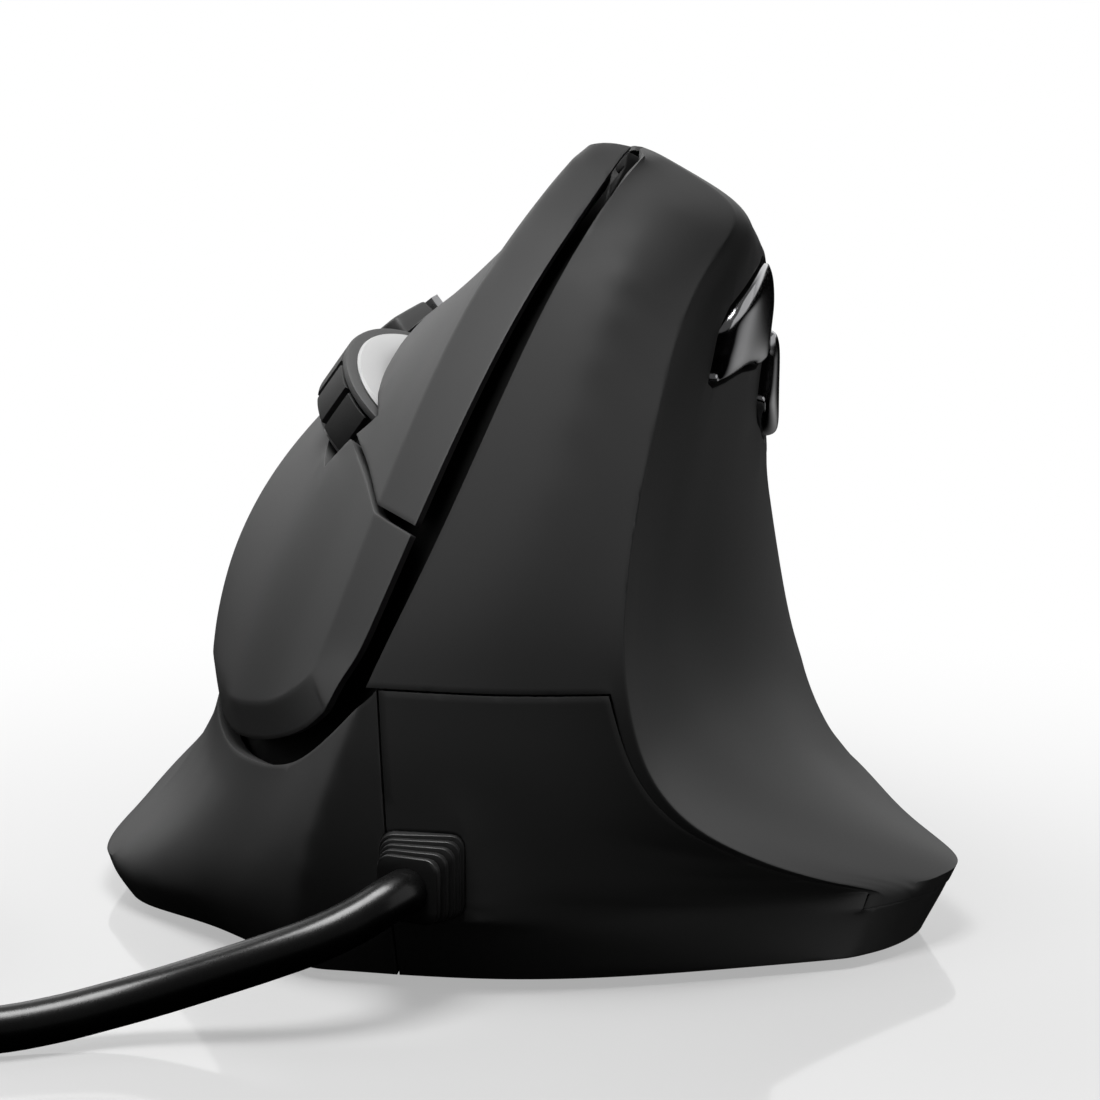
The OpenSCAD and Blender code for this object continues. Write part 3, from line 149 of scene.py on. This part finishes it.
# one look for each material slot of the record; grain and drift are sizes in mm
mouldedLooks = {
    # soft-touch paint on ABS: even, dull, with a faint grain
    "body_shell": {"name": "softTouchShell", "dark": "#343434", "light": "#373737", "roughness": 0.52,
                   "spread": 0.03, "grain": 0.22, "drift": 14, "relief": 0.05, "specular": 0.16},
    "cover": {"name": "softTouchCover", "dark": "#3a3a3a", "light": "#3d3d3d", "roughness": 0.55,
              "spread": 0.03, "grain": 0.22, "drift": 14, "relief": 0.05, "specular": 0.28},
    # plain black ABS, spark-eroded mould
    "groove": {"name": "linerBlackAbs", "dark": "#090909", "light": "#0c0c0c", "roughness": 0.7,
               "spread": 0.05, "grain": 0.3, "drift": 8, "relief": 0.1, "specular": 0.2},
    "inner_black": {"name": "chassisBlackAbs", "dark": "#191919", "light": "#1d1d1d", "roughness": 0.6,
                    "spread": 0.06, "grain": 0.35, "drift": 9, "relief": 0.2},
    # chrome plating on polished ABS: grey, and dark where it mirrors the dim room
    "side_button": {"name": "blackChromePlating", "dark": "#b2b2b4", "light": "#bababc", "roughness": 0.16,
                    "spread": 0.02, "grain": 0.6, "drift": 9, "relief": 0.01, "metallic": 1.0},
    "chrome_trim": {"name": "brightChromeStrip", "dark": "#d8d8da", "light": "#e2e2e4", "roughness": 0.28,
                    "spread": 0.02, "grain": 0.5, "drift": 5, "relief": 0.01, "metallic": 1.0},
    # light grey ABS, satin mould
    "wheel_grey": {"name": "wheelGreyAbs", "dark": "#929292", "light": "#989898", "roughness": 0.35,
                   "spread": 0.04, "grain": 0.25, "drift": 4, "relief": 0.04},
    # moulded TPE rubber: dull, a little dusty
    "tyre_rubber": {"name": "treadRubber", "dark": "#343434", "light": "#3b3b3b", "roughness": 0.62,
                    "spread": 0.06, "grain": 0.2, "drift": 3, "relief": 0.16, "specular": 0.35},
    # electronics: PBT, epoxy, nylon and ribbon PVC
    "encoder_blue": {"name": "encoderBluePbt", "dark": "#3a5f94", "light": "#4368a0", "roughness": 0.5,
                     "spread": 0.05, "grain": 0.2, "drift": 4, "relief": 0.1},
    "chip_black": {"name": "chipEpoxy", "dark": "#17181a", "light": "#1c1d1f", "roughness": 0.55,
                   "spread": 0.08, "grain": 0.12, "drift": 2, "relief": 0.25},
    "connector_white": {"name": "connectorNylon", "dark": "#e2dccb", "light": "#e9e4d6", "roughness": 0.45,
                        "spread": 0.05, "grain": 0.3, "drift": 4, "relief": 0.06},
    "ribbon_grey": {"name": "ribbonPvc", "dark": "#a4a4a2", "light": "#b2b2b0", "roughness": 0.4,
                    "spread": 0.05, "grain": 1.0, "drift": 6, "relief": 0.3},
    # extruded PVC jacket: black and shiny
    "cord_black": {"name": "cordPvc", "dark": "#070707", "light": "#0a0a0a", "roughness": 0.28,
                   "spread": 0.03, "grain": 0.5, "drift": 12, "relief": 0.03, "specular": 0.35},
    "relief_black": {"name": "reliefSoftPvc", "dark": "#151515", "light": "#191919", "roughness": 0.45,
                     "spread": 0.05, "grain": 0.25, "drift": 5, "relief": 0.08},
    "led_red": {"name": "ledRedEpoxy", "dark": "#b32018", "light": "#c42a20", "roughness": 0.15,
                "spread": 0.02, "grain": 0.6, "drift": 2, "relief": 0.02},
    # skived PTFE with lamp black: smooth and slippery
    "glide": {"name": "glidePtfe", "dark": "#141414", "light": "#1c1c1c", "roughness": 0.34,
              "spread": 0.06, "grain": 0.4, "drift": 3, "relief": 0.08},
    "steel": {"name": "zincPlatedSteel", "dark": "#a9abad", "light": "#b8babc", "roughness": 0.32,
              "spread": 0.08, "grain": 0.2, "drift": 2, "relief": 0.06, "metallic": 1.0},
}
finishes = {slot: mouldedFinish(look) for slot, look in mouldedLooks.items()}

# fibreglass board under green lacquer: copper runs show as paler lines
boardLook = {"name": "lacqueredBoard", "lacquer": "#1d5a34", "run": "#2f7a49", "pitch": 1.6, "runShare": 0.12,
             "relief": 0.2, "height": 0.03, "roughness": 0.35, "ior": 1.52}


def boardFinish(look):
    material, tree = newMaterial(look["name"])
    place = addNode(tree, "ShaderNodeTexCoord")
    runs = addNode(tree, "ShaderNodeTexVoronoi",
                   {"Scale": 1 / (look["pitch"] * mm), "feature": "DISTANCE_TO_EDGE",
                    "distance": "CHEBYCHEV"},
                   {"Vector": (place, "Object")})
    copper = addNode(tree, "ShaderNodeMapRange",
                     {"From Max": look["runShare"], "To Min": 1.0, "To Max": 0.0},
                     {"Value": (runs, "Distance")})
    tone = mixTone(tree, look["lacquer"], look["run"], (copper, "Result"))
    bump = addNode(tree, "ShaderNodeBump",
                   {"Strength": look["relief"], "Distance": look["height"] * mm},
                   {"Height": (copper, "Result")})
    shader = addNode(tree, "ShaderNodeBsdfPrincipled",
                     {"Roughness": look["roughness"], "IOR": look["ior"]},
                     {"Base Color": (tone, 2), "Normal": (bump, "Normal")})
    addNode(tree, "ShaderNodeOutputMaterial", None, {"Surface": (shader, "BSDF")})
    return material


# polycarbonate lens: clear, with a faint bluish body
lensLook = {"name": "polycarbonateLens", "colour": "#e6eef2", "haze": 1.2, "smooth": 0.02, "hazy": 0.12,
            "ior": 1.58, "clear": 0.9}


def lensFinish(look):
    material, tree = newMaterial(look["name"])
    place = addNode(tree, "ShaderNodeTexCoord")
    haze = addNode(tree, "ShaderNodeTexNoise",
                   {"Scale": 1 / (look["haze"] * mm)},
                   {"Vector": (place, "Object")})
    gloss = addNode(tree, "ShaderNodeMapRange",
                    {"To Min": look["smooth"], "To Max": look["hazy"]},
                    {"Value": (haze, "Fac")})
    shader = addNode(tree, "ShaderNodeBsdfPrincipled",
                     {"Base Color": hexColour(look["colour"]), "IOR": look["ior"],
                      "Transmission Weight": look["clear"]},
                     {"Roughness": (gloss, "Result")})
    addNode(tree, "ShaderNodeOutputMaterial", None, {"Surface": (shader, "BSDF")})
    return material


finishes["pcb_green"] = boardFinish(boardLook)
finishes["lens_clear"] = lensFinish(lensLook)
print("materials:", len(finishes))

record = frame["record"]
nodeSlot = {row["node"]: row["material_slot"] for row in record["subparts"]}
nodeBody = {node: body for body, members in record["behaviour"]["bodies"].items() for node in members}
joints = {joint["name"]: joint for joint in record["behaviour"]["joints"]}


def dress(thing, nodeName):
    thing.data.materials.clear()
    thing.data.materials.append(finishes[nodeSlot[nodeName]])


for nodeName, part in nodes.items():
    dress(part, nodeName)


def finishPiece(piece, nodeName, *others):
    scene.collection.objects.link(piece)
    dress(piece, nodeName)
    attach(piece, nodeBody[nodeName])
    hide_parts(nodeName, *others)
    return piece


# cord: out of the relief, down to the table, off to the left and into its coil of two layers
cordLook = {
    "diameter": 4.0,  # mm, and so are all lengths here
    "start": (-6.715, -59.044, 10.65),
    "startTurn": 20.0,  # degrees
    "straight": 2.6,
    "run": [(-10.4, -64, 9.3), (-13.2, -65.8, 8.2), (-17.2, -67.2, 6.9), (-22, -68.2, 5.4),
            (-26.4, -69.2, 4.1), (-30.8, -70.8, 3.1), (-35, -73.2, 2.5), (-39.6, -75.6, 2.2),
            (-44.4, -76.8, 2.1), (-49.6, -77.3, 2.1), (-58, -77.3, 2.1), (-67, -77.3, 2.3)],
    "entry": [(8, 2.8), (4, 3.0)],  # way before the coil, height
    "coilCentre": (-83.5, -43.7),
    "coilStart": -90.0,  # degrees, and so is the step
    "coilStep": 15,
    "turns": 4.5,
    "radius": 33.6,
    "pitch": 4.5,
    "layer": 4.6,
    "layerTurn": 180,  # degrees
    "height": 3.0,
    "tailTurn": 120.0,  # degrees, and so is the drop
    "tailDrop": 74.0,
    "tail": 19.0,
}


def coilPoint(look, angle):
    half = look["turns"] * 360
    past = angle - 2 * half
    k = min(max((angle - half + look["layerTurn"] / 2) / look["layerTurn"], 0), 1)
    lift = k * k * (3 - 2 * k)
    radius = look["radius"] - look["pitch"] * (look["turns"] - abs(angle - half) / 360)
    if past > 0:
        drop = math.radians(past / look["tailTurn"] * look["tailDrop"])
        radius += look["layer"] * math.sin(drop) - look["pitch"] * past / 360
        lift = math.cos(drop)
    turn = math.radians(look["coilStart"] - angle)
    return Vector((look["coilCentre"][0] + radius * math.cos(turn),
                   look["coilCentre"][1] + radius * math.sin(turn),
                   look["height"] + look["layer"] * lift))


def coilHeading(look, angle):
    turn = math.radians(look["coilStart"] - angle)
    return Vector((math.sin(turn), -math.cos(turn), 0))


def cordRoute(look):
    turn = math.radians(look["startTurn"])
    start = Vector(look["start"])
    route = [start, start + look["straight"] * Vector((-math.sin(turn), -math.cos(turn), 0))]
    route += [Vector(p) for p in look["run"]]
    first = coilPoint(look, 0)
    lead = coilHeading(look, 0)
    for back, height in look["entry"]:
        entry = first - back * lead
        route.append(Vector((entry.x, entry.y, height)))
    last = look["turns"] * 720 + look["tailTurn"]
    steps = int(last // look["coilStep"])
    route += [coilPoint(look, look["coilStep"] * i) for i in range(steps + 1)]
    end = coilPoint(look, last)
    route += [end + look["tail"] * k / 2 * coilHeading(look, last) for k in (1, 2)]
    return [p * mm for p in route]


def makeCord(look):
    curve = bpy.data.curves.new("signalCord", "CURVE")
    curve.dimensions = "3D"
    curve.bevel_depth = look["diameter"] / 2 * mm
    curve.bevel_resolution = 4
    curve.use_fill_caps = True
    curve.resolution_u = 4
    route = cordRoute(look)
    spline = curve.splines.new("BEZIER")
    spline.bezier_points.add(len(route) - 1)
    for knot, place in zip(spline.bezier_points, route):
        knot.co = place
        knot.handle_left_type = knot.handle_right_type = "AUTO"
    piece = finishPiece(bpy.data.objects.new("signalCord", curve), "cord", "cord_coil")
    length = sum((b - a).length for a, b in zip(route, route[1:]))
    print("cord:", len(route), "points,", round(length, 3), "m")
    return piece, route[0], length


cord, cordExit, cordLength = makeCord(cordLook)

# folds of the covers: down the front from the crown, then back along the foot, in mm
frontFold = {"crown": (6.2, -36, 72.3), "crownSlope": 48, "foot": (-16.7, -46, 26.2), "footSlope": 68,
             "pull": 0.36, "drop": 0.7, "dropShare": 0.05}
footFold = [(-16.7, -46, 26.2), (-20.9, -41.5, 22.6), (-26.5, -33.5, 21.2), (-30.8, -14, 21.2), (-32, 8, 20),
            (-30.4, 26, 18), (-23, 40, 14.6), (-12, 49.4, 11)]
# the ridge between the front and the thumb scoop
ridgeFold = [(33.2, -39.8, 6.2), (28.4, -43, 8), (23.8, -46, 10), (18, -49.4, 13.5), (13.2, -51.5, 19.5),
             (11.2, -51.7, 29), (11.5, -49, 39), (13.2, -45, 48.5), (15, -40, 57), (17.4, -36.2, 62),
             (19.8, -33.6, 65.5)]


def frontLine(fold, steps):
    crown = Vector(fold["crown"])
    foot = Vector(fold["foot"])
    pull = fold["pull"] * (foot - crown).length
    first, last = math.radians(fold["crownSlope"]), math.radians(fold["footSlope"])
    near = crown - pull * Vector((math.cos(first), 0, math.sin(first)))
    far = foot + pull * Vector((math.cos(last), 0, math.sin(last)))
    line = []
    for i in range(steps + 1):
        t = i / steps
        s = 1 - t
        point = s ** 3 * crown + 3 * s * s * t * near + 3 * s * t * t * far + t ** 3 * foot
        point.z -= fold["drop"] * max(1 - t / fold["dropShare"], 0) ** 2
        line.append(point * mm)
    return line


# a smooth line through the points, with so many steps between two of them
def smoothLine(points, steps):
    knots = [Vector(p) for p in points]
    last = len(knots) - 1
    line = []
    for i in range(last):
        a, b = knots[i], knots[i + 1]
        leave = (b - knots[max(i - 1, 0)]) / (1 if i == 0 else 2)
        reach = (knots[min(i + 2, last)] - a) / (1 if i == last - 1 else 2)
        for k in range(steps + 1):
            t = k / steps
            s = 1 - t
            point = (1 + 2 * t) * s ** 2 * a + t * s ** 2 * leave
            point = point + t * t * (3 - 2 * t) * b - t * t * s * reach
            line.append(point * mm)
    return line


coverFolds = frontLine(frontFold, 60) + smoothLine(footFold, 10)
ridgeFolds = smoothLine(ridgeFold, 16)

# moulded pieces: a merged copy of the CAD form, smoothed between its rims and folds, then rounded at the rims
moulded = {
    "thumb_side_shell": {"name": "thumbShell", "edge": 0.06, "levels": 3, "folds": ridgeFolds, "crease": 0.5},
    "lower_front_panel": {"name": "frontPanel", "edge": 0.06, "levels": 3},
    "finger_side_shell": {"name": "fingerShell", "edge": 0.08, "levels": 3},
    "left_button": {"name": "leftPlate", "edge": 0.2, "levels": 3, "folds": coverFolds, "crease": 0.8,
                    "soft": 66},
    "right_button": {"name": "rightPlate", "edge": 0.2, "levels": 3, "folds": coverFolds, "crease": 0.8},
    "palm_cover": {"name": "palmPlate", "edge": 0.2, "levels": 3, "folds": coverFolds, "crease": 0.8},
    "button_frame": {"name": "grooveLiner", "edge": 0.2, "levels": 1},
    "forward_button": {"name": "forwardKey", "edge": 0.1, "levels": 3, "rim": 0.5},
    "back_button": {"name": "backKey", "edge": 0.1, "levels": 3, "rim": 0.5},
    "dpi_button": {"name": "dpiKey", "edge": 0.2, "levels": 2, "rim": 0.8},
    "strain_relief": {"name": "cordRelief", "edge": 0.16, "levels": 0},
    "base_plate": {"name": "bottomPlate", "edge": 0.25, "levels": 0},
    "usb_plug_body": {"name": "plugGrip", "edge": 0.4, "levels": 0},
}
forming = {
    "merge": 0.002,  # mm, and so are the next two
    "thin": 0.004,
    "foldReach": 0.55,
    "rimAngle": 60,  # degrees, and so are the next three
    "flatAngle": 20,
    "shapeAngle": 60,
    "roundAngle": 40,
}


def nearLine(place, line):
    return min((place - p).length_squared for p in line) < (forming["foldReach"] * mm) ** 2


# how far out a place is in a round spot: 0 at its centre, 1 at its border
def spotShare(place, spot):
    return (place - Vector(spot["centre"]) * mm).length / (spot["radius"] * mm)


# a rounder crest on the left plate
def raiseCrest(form):
    crest = {"centre": (8.0, -36.2, 71.6), "radius": 3.0, "lift": 0.55}
    for vert in form.verts:
        share = spotShare(vert.co, crest)
        if share < 1:
            vert.co.z += crest["lift"] * mm * (1 - share * share) ** 2


# the right plate's lower front corner, rounder
def roundCorner(form):
    corner = {"centre": (-13.8, -49.0, 24.0), "radius": 5.0, "shift": (-0.6, 0.2, 0.35)}
    for vert in form.verts:
        share = spotShare(vert.co, corner)
        if share < 1:
            vert.co += Vector(corner["shift"]) * mm * (1 - share * share)


# the palm plate's rear border comes down into the corner of the two shells
def fillRear(form):
    rear = {"left": -12.0, "width": 10.4, "front": 47.6, "depth": 3.6, "top": 21.0, "shift": (1.2, 1.2, -6.4)}
    peak = 6.75  # brings the largest weight to 1
    for vert in form.verts:
        place = vert.co / mm
        if place.y > rear["front"] and place.z < rear["top"]:
            across = min(max((place.x - rear["left"]) / rear["width"], 0), 1)
            back = min((place.y - rear["front"]) / rear["depth"], 1)
            vert.co += Vector(rear["shift"]) * mm * (peak * across * across * (1 - across) * back)


# the liner runs on to the crown, so that the groove ends in the dark
def extendLiner(form):
    tip = {"above": 67.9, "count": 2, "widen": 0.6}
    end = {"above": 64.1, "upward": 0.35, "facing": (0.5, 0.2, 0.84), "agree": 0.5, "run": (0.2, 0.4, 1.2)}
    high = [v for v in form.verts if v.co.z > tip["above"] * mm]
    for vert in sorted(high, key=lambda v: v.co.x - v.co.z)[:tip["count"]]:
        vert.co.x -= tip["widen"] * mm
    faces = [f for f in form.faces
             if min(v.co.z for v in f.verts) > end["above"] * mm and f.normal.z > end["upward"]
             and f.normal.dot(Vector(end["facing"])) > end["agree"]]
    grown = bmesh.ops.extrude_face_region(form, geom=faces)["geom"]
    moved = [g for g in grown if isinstance(g, bmesh.types.BMVert)]
    bmesh.ops.translate(form, verts=moved, vec=Vector(end["run"]) * mm)
    bmesh.ops.delete(form, geom=faces, context="FACES_ONLY")
    # extruding leaves the parts in a chance order; a fixed one gives every run the same form
    along = Vector((1, 7, 53))
    form.verts.sort(key=lambda v: along.dot(v.co))
    form.edges.sort(key=lambda e: along.dot(e.verts[0].co + e.verts[1].co))
    form.faces.sort(key=lambda f: along.dot(f.calc_center_median()))


# the base outline turns in one smooth sweep at the front of the thumb flange
def softenCorner(form):
    turn = {"low": (30.5, -43.0, 1.0), "high": (32.5, -40.7, 4.9), "from": -0.1, "to": 1.4, "reach": 0.7,
            "shift": (-0.07, 0.17, 0)}
    low, high = Vector(turn["low"]), Vector(turn["high"])
    for vert in form.verts:
        place = vert.co / mm
        share = (place.z - low.z) / (high.z - low.z)
        if turn["from"] < share < turn["to"] and (place - low.lerp(high, share)).length < turn["reach"]:
            vert.co += Vector(turn["shift"]) * mm


# the panel comes close up to the rim and to the flange's front end, as a tight moulded seam
def tightenPanel(form):
    seam = {"low": 5, "high": 26, "reach": 2.4, "close": 0.2}
    step = {"low": 4.5, "high": 4.85, "left": 30.8, "right": 31.3, "lift": 0.2, "close": 0.3}
    for vert in form.verts:
        away = min(((p - vert.co) for p in ridgeFolds), key=lambda d: d.length_squared)
        if seam["low"] * mm < vert.co.z < seam["high"] * mm and away.length < seam["reach"] * mm:
            vert.co += away.normalized() * seam["close"] * mm
        elif step["low"] * mm < vert.co.z < step["high"] * mm:
            vert.co.z += step["lift"] * mm
            if step["left"] * mm < vert.co.x < step["right"] * mm:
                vert.co.x += step["close"] * mm
    softenCorner(form)


touches = {
    "left_button": raiseCrest,
    "right_button": roundCorner,
    "palm_cover": fillRear,
    "button_frame": extendLiner,
    "thumb_side_shell": softenCorner,
    "lower_front_panel": tightenPanel,
}


def markRims(form, crease, look):
    folded = {v: nearLine(v.co, look["folds"]) for v in form.verts} if "folds" in look else {}
    for edge in form.edges:
        if folded and all(folded[v] for v in edge.verts):
            high = max(v.co.z for v in edge.verts)
            edge[crease] = look["crease"] if high < look.get("soft", 99) * mm else 0.0
            edge.smooth = False
        elif edge.is_manifold and edge.calc_face_angle() > math.radians(forming["rimAngle"]):
            edge[crease] = look.get("rim", 1.0)
            edge.smooth = False


def makeMoulded(nodeName, look):
    mesh = nodes[nodeName].data.copy()
    mesh.name = look["name"]
    form = bmesh.new()
    form.from_mesh(mesh)
    bmesh.ops.remove_doubles(form, verts=form.verts, dist=forming["merge"] * mm)
    bmesh.ops.dissolve_degenerate(form, edges=form.edges, dist=forming["thin"] * mm)
    crease = form.edges.layers.float.new("crease_edge")
    if nodeName in touches:
        touches[nodeName](form)
    markRims(form, crease, look)
    bmesh.ops.join_triangles(form, faces=form.faces, cmp_sharp=True,
                             angle_face_threshold=math.radians(forming["flatAngle"]),
                             angle_shape_threshold=math.radians(forming["shapeAngle"]))
    for edge in form.edges:
        edge.smooth = True
    form.to_mesh(mesh)
    form.free()
    mesh.shade_smooth()
    piece = bpy.data.objects.new(look["name"], mesh)
    if look["levels"]:
        smooth = piece.modifiers.new("smoothForm", "SUBSURF")
        smooth.levels = look["levels"]
        smooth.render_levels = look["levels"]
    rounded = piece.modifiers.new("roundedRim", "BEVEL")
    rounded.width = look["edge"] * mm
    rounded.segments = 2
    rounded.profile = 0.5
    rounded.limit_method = "ANGLE"
    rounded.angle_limit = math.radians(forming["roundAngle"])
    rounded.harden_normals = True
    return finishPiece(piece, nodeName)


made = {nodeName: makeMoulded(nodeName, look) for nodeName, look in moulded.items()}
print("moulded pieces:", len(made))

# wheel: hub and tyre turned about the axle that the spin joint names
wheelLook = {
    "axle": 1.1,  # mm, radii and places along the axle
    "ends": (-5.8, 8.0),
    "hub": [(1.1, -3.4), (7.55, -3.4), (7.7, -3.25), (7.7, -2.8), (6.1, -2.8), (6.1, 2.8), (7.1, 2.85),
            (7.15, 3.0), (6.95, 3.22), (6.4, 3.34), (5.6, 3.4), (4.4, 3.4), (4.2, 3.3), (4.2, 0.5),
            (1.1, 0.5)],
    "hubSteps": 96,
    "tyre": [(6.1, -2.8), (7.9, -2.8), (8.12, -2.7), (8.2, -2.5), (8.2, 1.8), (7.75, 1.82), (7.75, 2.18),
             (8.2, 2.2), (8.2, 2.45), (8.1, 2.7), (7.85, 2.8), (6.1, 2.8)],
    "blocks": 14,
    "stepsPerBlock": 20,
    "grooveDepth": 0.6,
    "grooveWidth": 0.42,
    "grooveRadius": 7.8,  # grooves lie outside this and end at the next
    "grooveEnd": 1.81,
    "sharpAngle": 35,  # degrees
}


def wheelPlace():
    along = Vector(joints["wheel_spin"]["axis"]).normalized()
    out = -Vector(joints["wheel_click"]["axis"]).normalized()
    across = out.cross(along).normalized()
    out = along.cross(across)
    place = Matrix((out, across, along)).transposed().to_4x4()
    place.translation = Vector(joints["wheel_spin"]["pos_m"])
    return place


def turned(outline, steps, closed):
    form = bmesh.new()
    verts = [form.verts.new((r * mm, 0, h * mm)) for r, h in outline]
    edges = [form.edges.new((a, b)) for a, b in zip(verts, verts[1:])]
    if closed:
        edges.append(form.edges.new((verts[-1], verts[0])))
    bmesh.ops.spin(form, geom=verts + edges, cent=(0, 0, 0), axis=(0, 0, 1), angle=2 * math.pi, steps=steps,
                   use_merge=True)
    bmesh.ops.remove_doubles(form, verts=form.verts, dist=forming["merge"] * mm)
    return form


def cutTread(form, look):
    pitch = 2 * math.pi / look["blocks"]
    half = look["grooveWidth"] / 2 * mm
    for vert in form.verts:
        radius = math.hypot(vert.co.x, vert.co.y)
        if radius > look["grooveRadius"] * mm and vert.co.z < look["grooveEnd"] * mm:
            turn = math.atan2(vert.co.y, vert.co.x) / pitch % 1 - 0.5
            if abs(turn) * pitch * radius < half:
                shrink = 1 - look["grooveDepth"] * mm / radius
                vert.co.x *= shrink
                vert.co.y *= shrink


def finishTurned(form, look, name, nodeName):
    bmesh.ops.transform(form, matrix=wheelPlace(), verts=form.verts)
    bmesh.ops.recalc_face_normals(form, faces=form.faces)
    mesh = bpy.data.meshes.new(name)
    form.to_mesh(mesh)
    form.free()
    mesh.shade_smooth()
    mesh.set_sharp_from_angle(angle=math.radians(look["sharpAngle"]))
    finishPiece(bpy.data.objects.new(name, mesh), nodeName)


def makeWheel(look):
    low, high = look["ends"]
    outline = [(0, low), (look["axle"], low)] + look["hub"] + [(look["axle"], high), (0, high)]
    hub = turned(outline, look["hubSteps"], False)
    finishTurned(hub, look, "wheelHub", "wheel_hub")
    tyre = turned(look["tyre"], look["blocks"] * look["stepsPerBlock"], True)
    cutTread(tyre, look)
    finishTurned(tyre, look, "wheelTyre", "wheel_tyre")


makeWheel(wheelLook)
print("wheel turned")

# stage: a pale floor, three soft lamps and a white surround, in m
floorLook = {
    "size": 6.0,
    "seen": "#aaaaaa",
    "bounce": "#303030",
    "roughness": 0.07,
    "centre": (0, -0.06, 0),
    "near": 0.02,
    "far": 0.15,
    "lift": 0.4,
    # strength of the painted glow patch on the floor, seen by glossy rays only
    "shine": 0.34,
    "glowPatch": (0.09, 0.12, 0),
    "glowPatchReach": (0.02, 0.09),
}


def floorFinish(look):
    material, tree = newMaterial("studioFloor")
    path = addNode(tree, "ShaderNodeLightPath")
    place = addNode(tree, "ShaderNodeTexCoord")
    seen = addNode(tree, "ShaderNodeBsdfPrincipled",
                   {"Base Color": hexColour(look["seen"]), "Roughness": look["roughness"],
                    "Specular IOR Level": 0.5})
    dark = addNode(tree, "ShaderNodeBsdfDiffuse", {"Color": hexColour(look["bounce"])})
    # a patch of floor beside the object glows for glossy rays only: a painted glow where no lamp is, so the
    # plated keys show a painted reflection of it
    beside = addNode(tree, "ShaderNodeVectorMath", {"operation": "DISTANCE", 1: look["glowPatch"]},
                     {0: (place, "Object")})
    soft = addNode(tree, "ShaderNodeMapRange",
                   {"From Min": look["glowPatchReach"][0], "From Max": look["glowPatchReach"][1],
                    "To Min": look["shine"], "To Max": 0.0},
                   {"Value": (beside, "Value")})
    paintedGlow = addNode(tree, "ShaderNodeEmission", None, {"Strength": (soft, "Result")})
    bounce = addNode(tree, "ShaderNodeMixShader", None,
                     {"Fac": (path, "Is Glossy Ray"), 1: (dark, 0), 2: (paintedGlow, 0)})
    # the floor runs out into the white of the surround
    reach = addNode(tree, "ShaderNodeVectorMath", {"operation": "DISTANCE", 1: look["centre"]},
                    {0: (place, "Object")})
    away = addNode(tree, "ShaderNodeMapRange",
                   {"From Min": look["near"], "From Max": look["far"], "To Min": look["lift"],
                    "interpolation_type": "SMOOTHSTEP"},
                   {"Value": (reach, "Value")})
    white = addNode(tree, "ShaderNodeEmission", {"Color": (1, 1, 1, 1), "Strength": 1.0})
    faded = addNode(tree, "ShaderNodeMixShader", None, {"Fac": (away, "Result"), 1: (seen, 0), 2: (white, 0)})
    both = addNode(tree, "ShaderNodeMixShader", None,
                   {"Fac": (path, "Is Camera Ray"), 1: (bounce, 0), 2: (faded, 0)})
    addNode(tree, "ShaderNodeOutputMaterial", None, {"Surface": (both, "Shader")})
    return material


def makeFloor(look):
    mesh = bpy.data.meshes.new("floor")
    form = bmesh.new()
    bmesh.ops.create_grid(form, x_segments=1, y_segments=1, size=look["size"] / 2)
    form.to_mesh(mesh)
    form.free()
    floor = bpy.data.objects.new("floor", mesh)
    scene.collection.objects.link(floor)
    mesh.materials.append(floorFinish(look))


makeFloor(floorLook)

lamps = {
    "overhead": {"place": (-0.012, -0.058, 0.2), "aim": (0, -0.04, 0.04), "size": 0.1, "power": 0.6},
    "left": {"place": (-0.5, 0.3, 0.45), "aim": (0, 0, 0.04), "size": 0.4, "power": 1.8},
    "sideCard": {"place": (0.35, 0.0, 0.12), "aim": (0.02, 0, 0.05), "size": 0.45, "power": 0.35},
}


def placeLamp(name, look):
    data = bpy.data.lights.new(name, "AREA")
    data.size = look["size"]
    data.energy = look["power"]
    light = bpy.data.objects.new(name, data)
    light.location = look["place"]
    light.visible_camera = False
    away = Vector(look["place"]) - Vector(look["aim"])
    light.rotation_euler = away.to_track_quat("Z", "Y").to_euler()
    scene.collection.objects.link(light)


for lampName, lampLook in lamps.items():
    placeLamp(lampName, lampLook)

surround = {"seen": 1.0, "shine": 0.1, "fill": 0.04, "backdrop": (0.5, 0.85)}


def makeWorld(look):
    world = bpy.data.worlds.new("studio")
    tree = emptyTree(world)
    path = addNode(tree, "ShaderNodeLightPath")
    # reflections see a white backdrop behind the object and little else
    place = addNode(tree, "ShaderNodeTexCoord")
    axes = addNode(tree, "ShaderNodeSeparateXYZ", None, {"Vector": (place, "Generated")})
    backdrop = addNode(tree, "ShaderNodeMapRange",
                       {"From Min": look["backdrop"][0], "From Max": look["backdrop"][1],
                        "To Min": look["shine"], "To Max": look["seen"]},
                       {"Value": (axes, "Y")})
    shine = addNode(tree, "ShaderNodeMapRange", {"To Min": look["fill"]},
                    {"Value": (path, "Is Glossy Ray"), "To Max": (backdrop, "Result")})
    clear = addNode(tree, "ShaderNodeMath", {"operation": "MAXIMUM"},
                    {0: (path, "Is Camera Ray"), 1: (path, "Is Transmission Ray")})
    level = addNode(tree, "ShaderNodeMapRange", {"To Max": look["seen"]},
                    {"Value": (clear, "Value"), "To Min": (shine, "Result")})
    sky = addNode(tree, "ShaderNodeBackground", {"Color": (1, 1, 1, 1)}, {"Strength": (level, "Result")})
    addNode(tree, "ShaderNodeOutputWorld", None, {"Surface": (sky, "Background")})
    scene.world = world


makeWorld(surround)
print("stage ready")
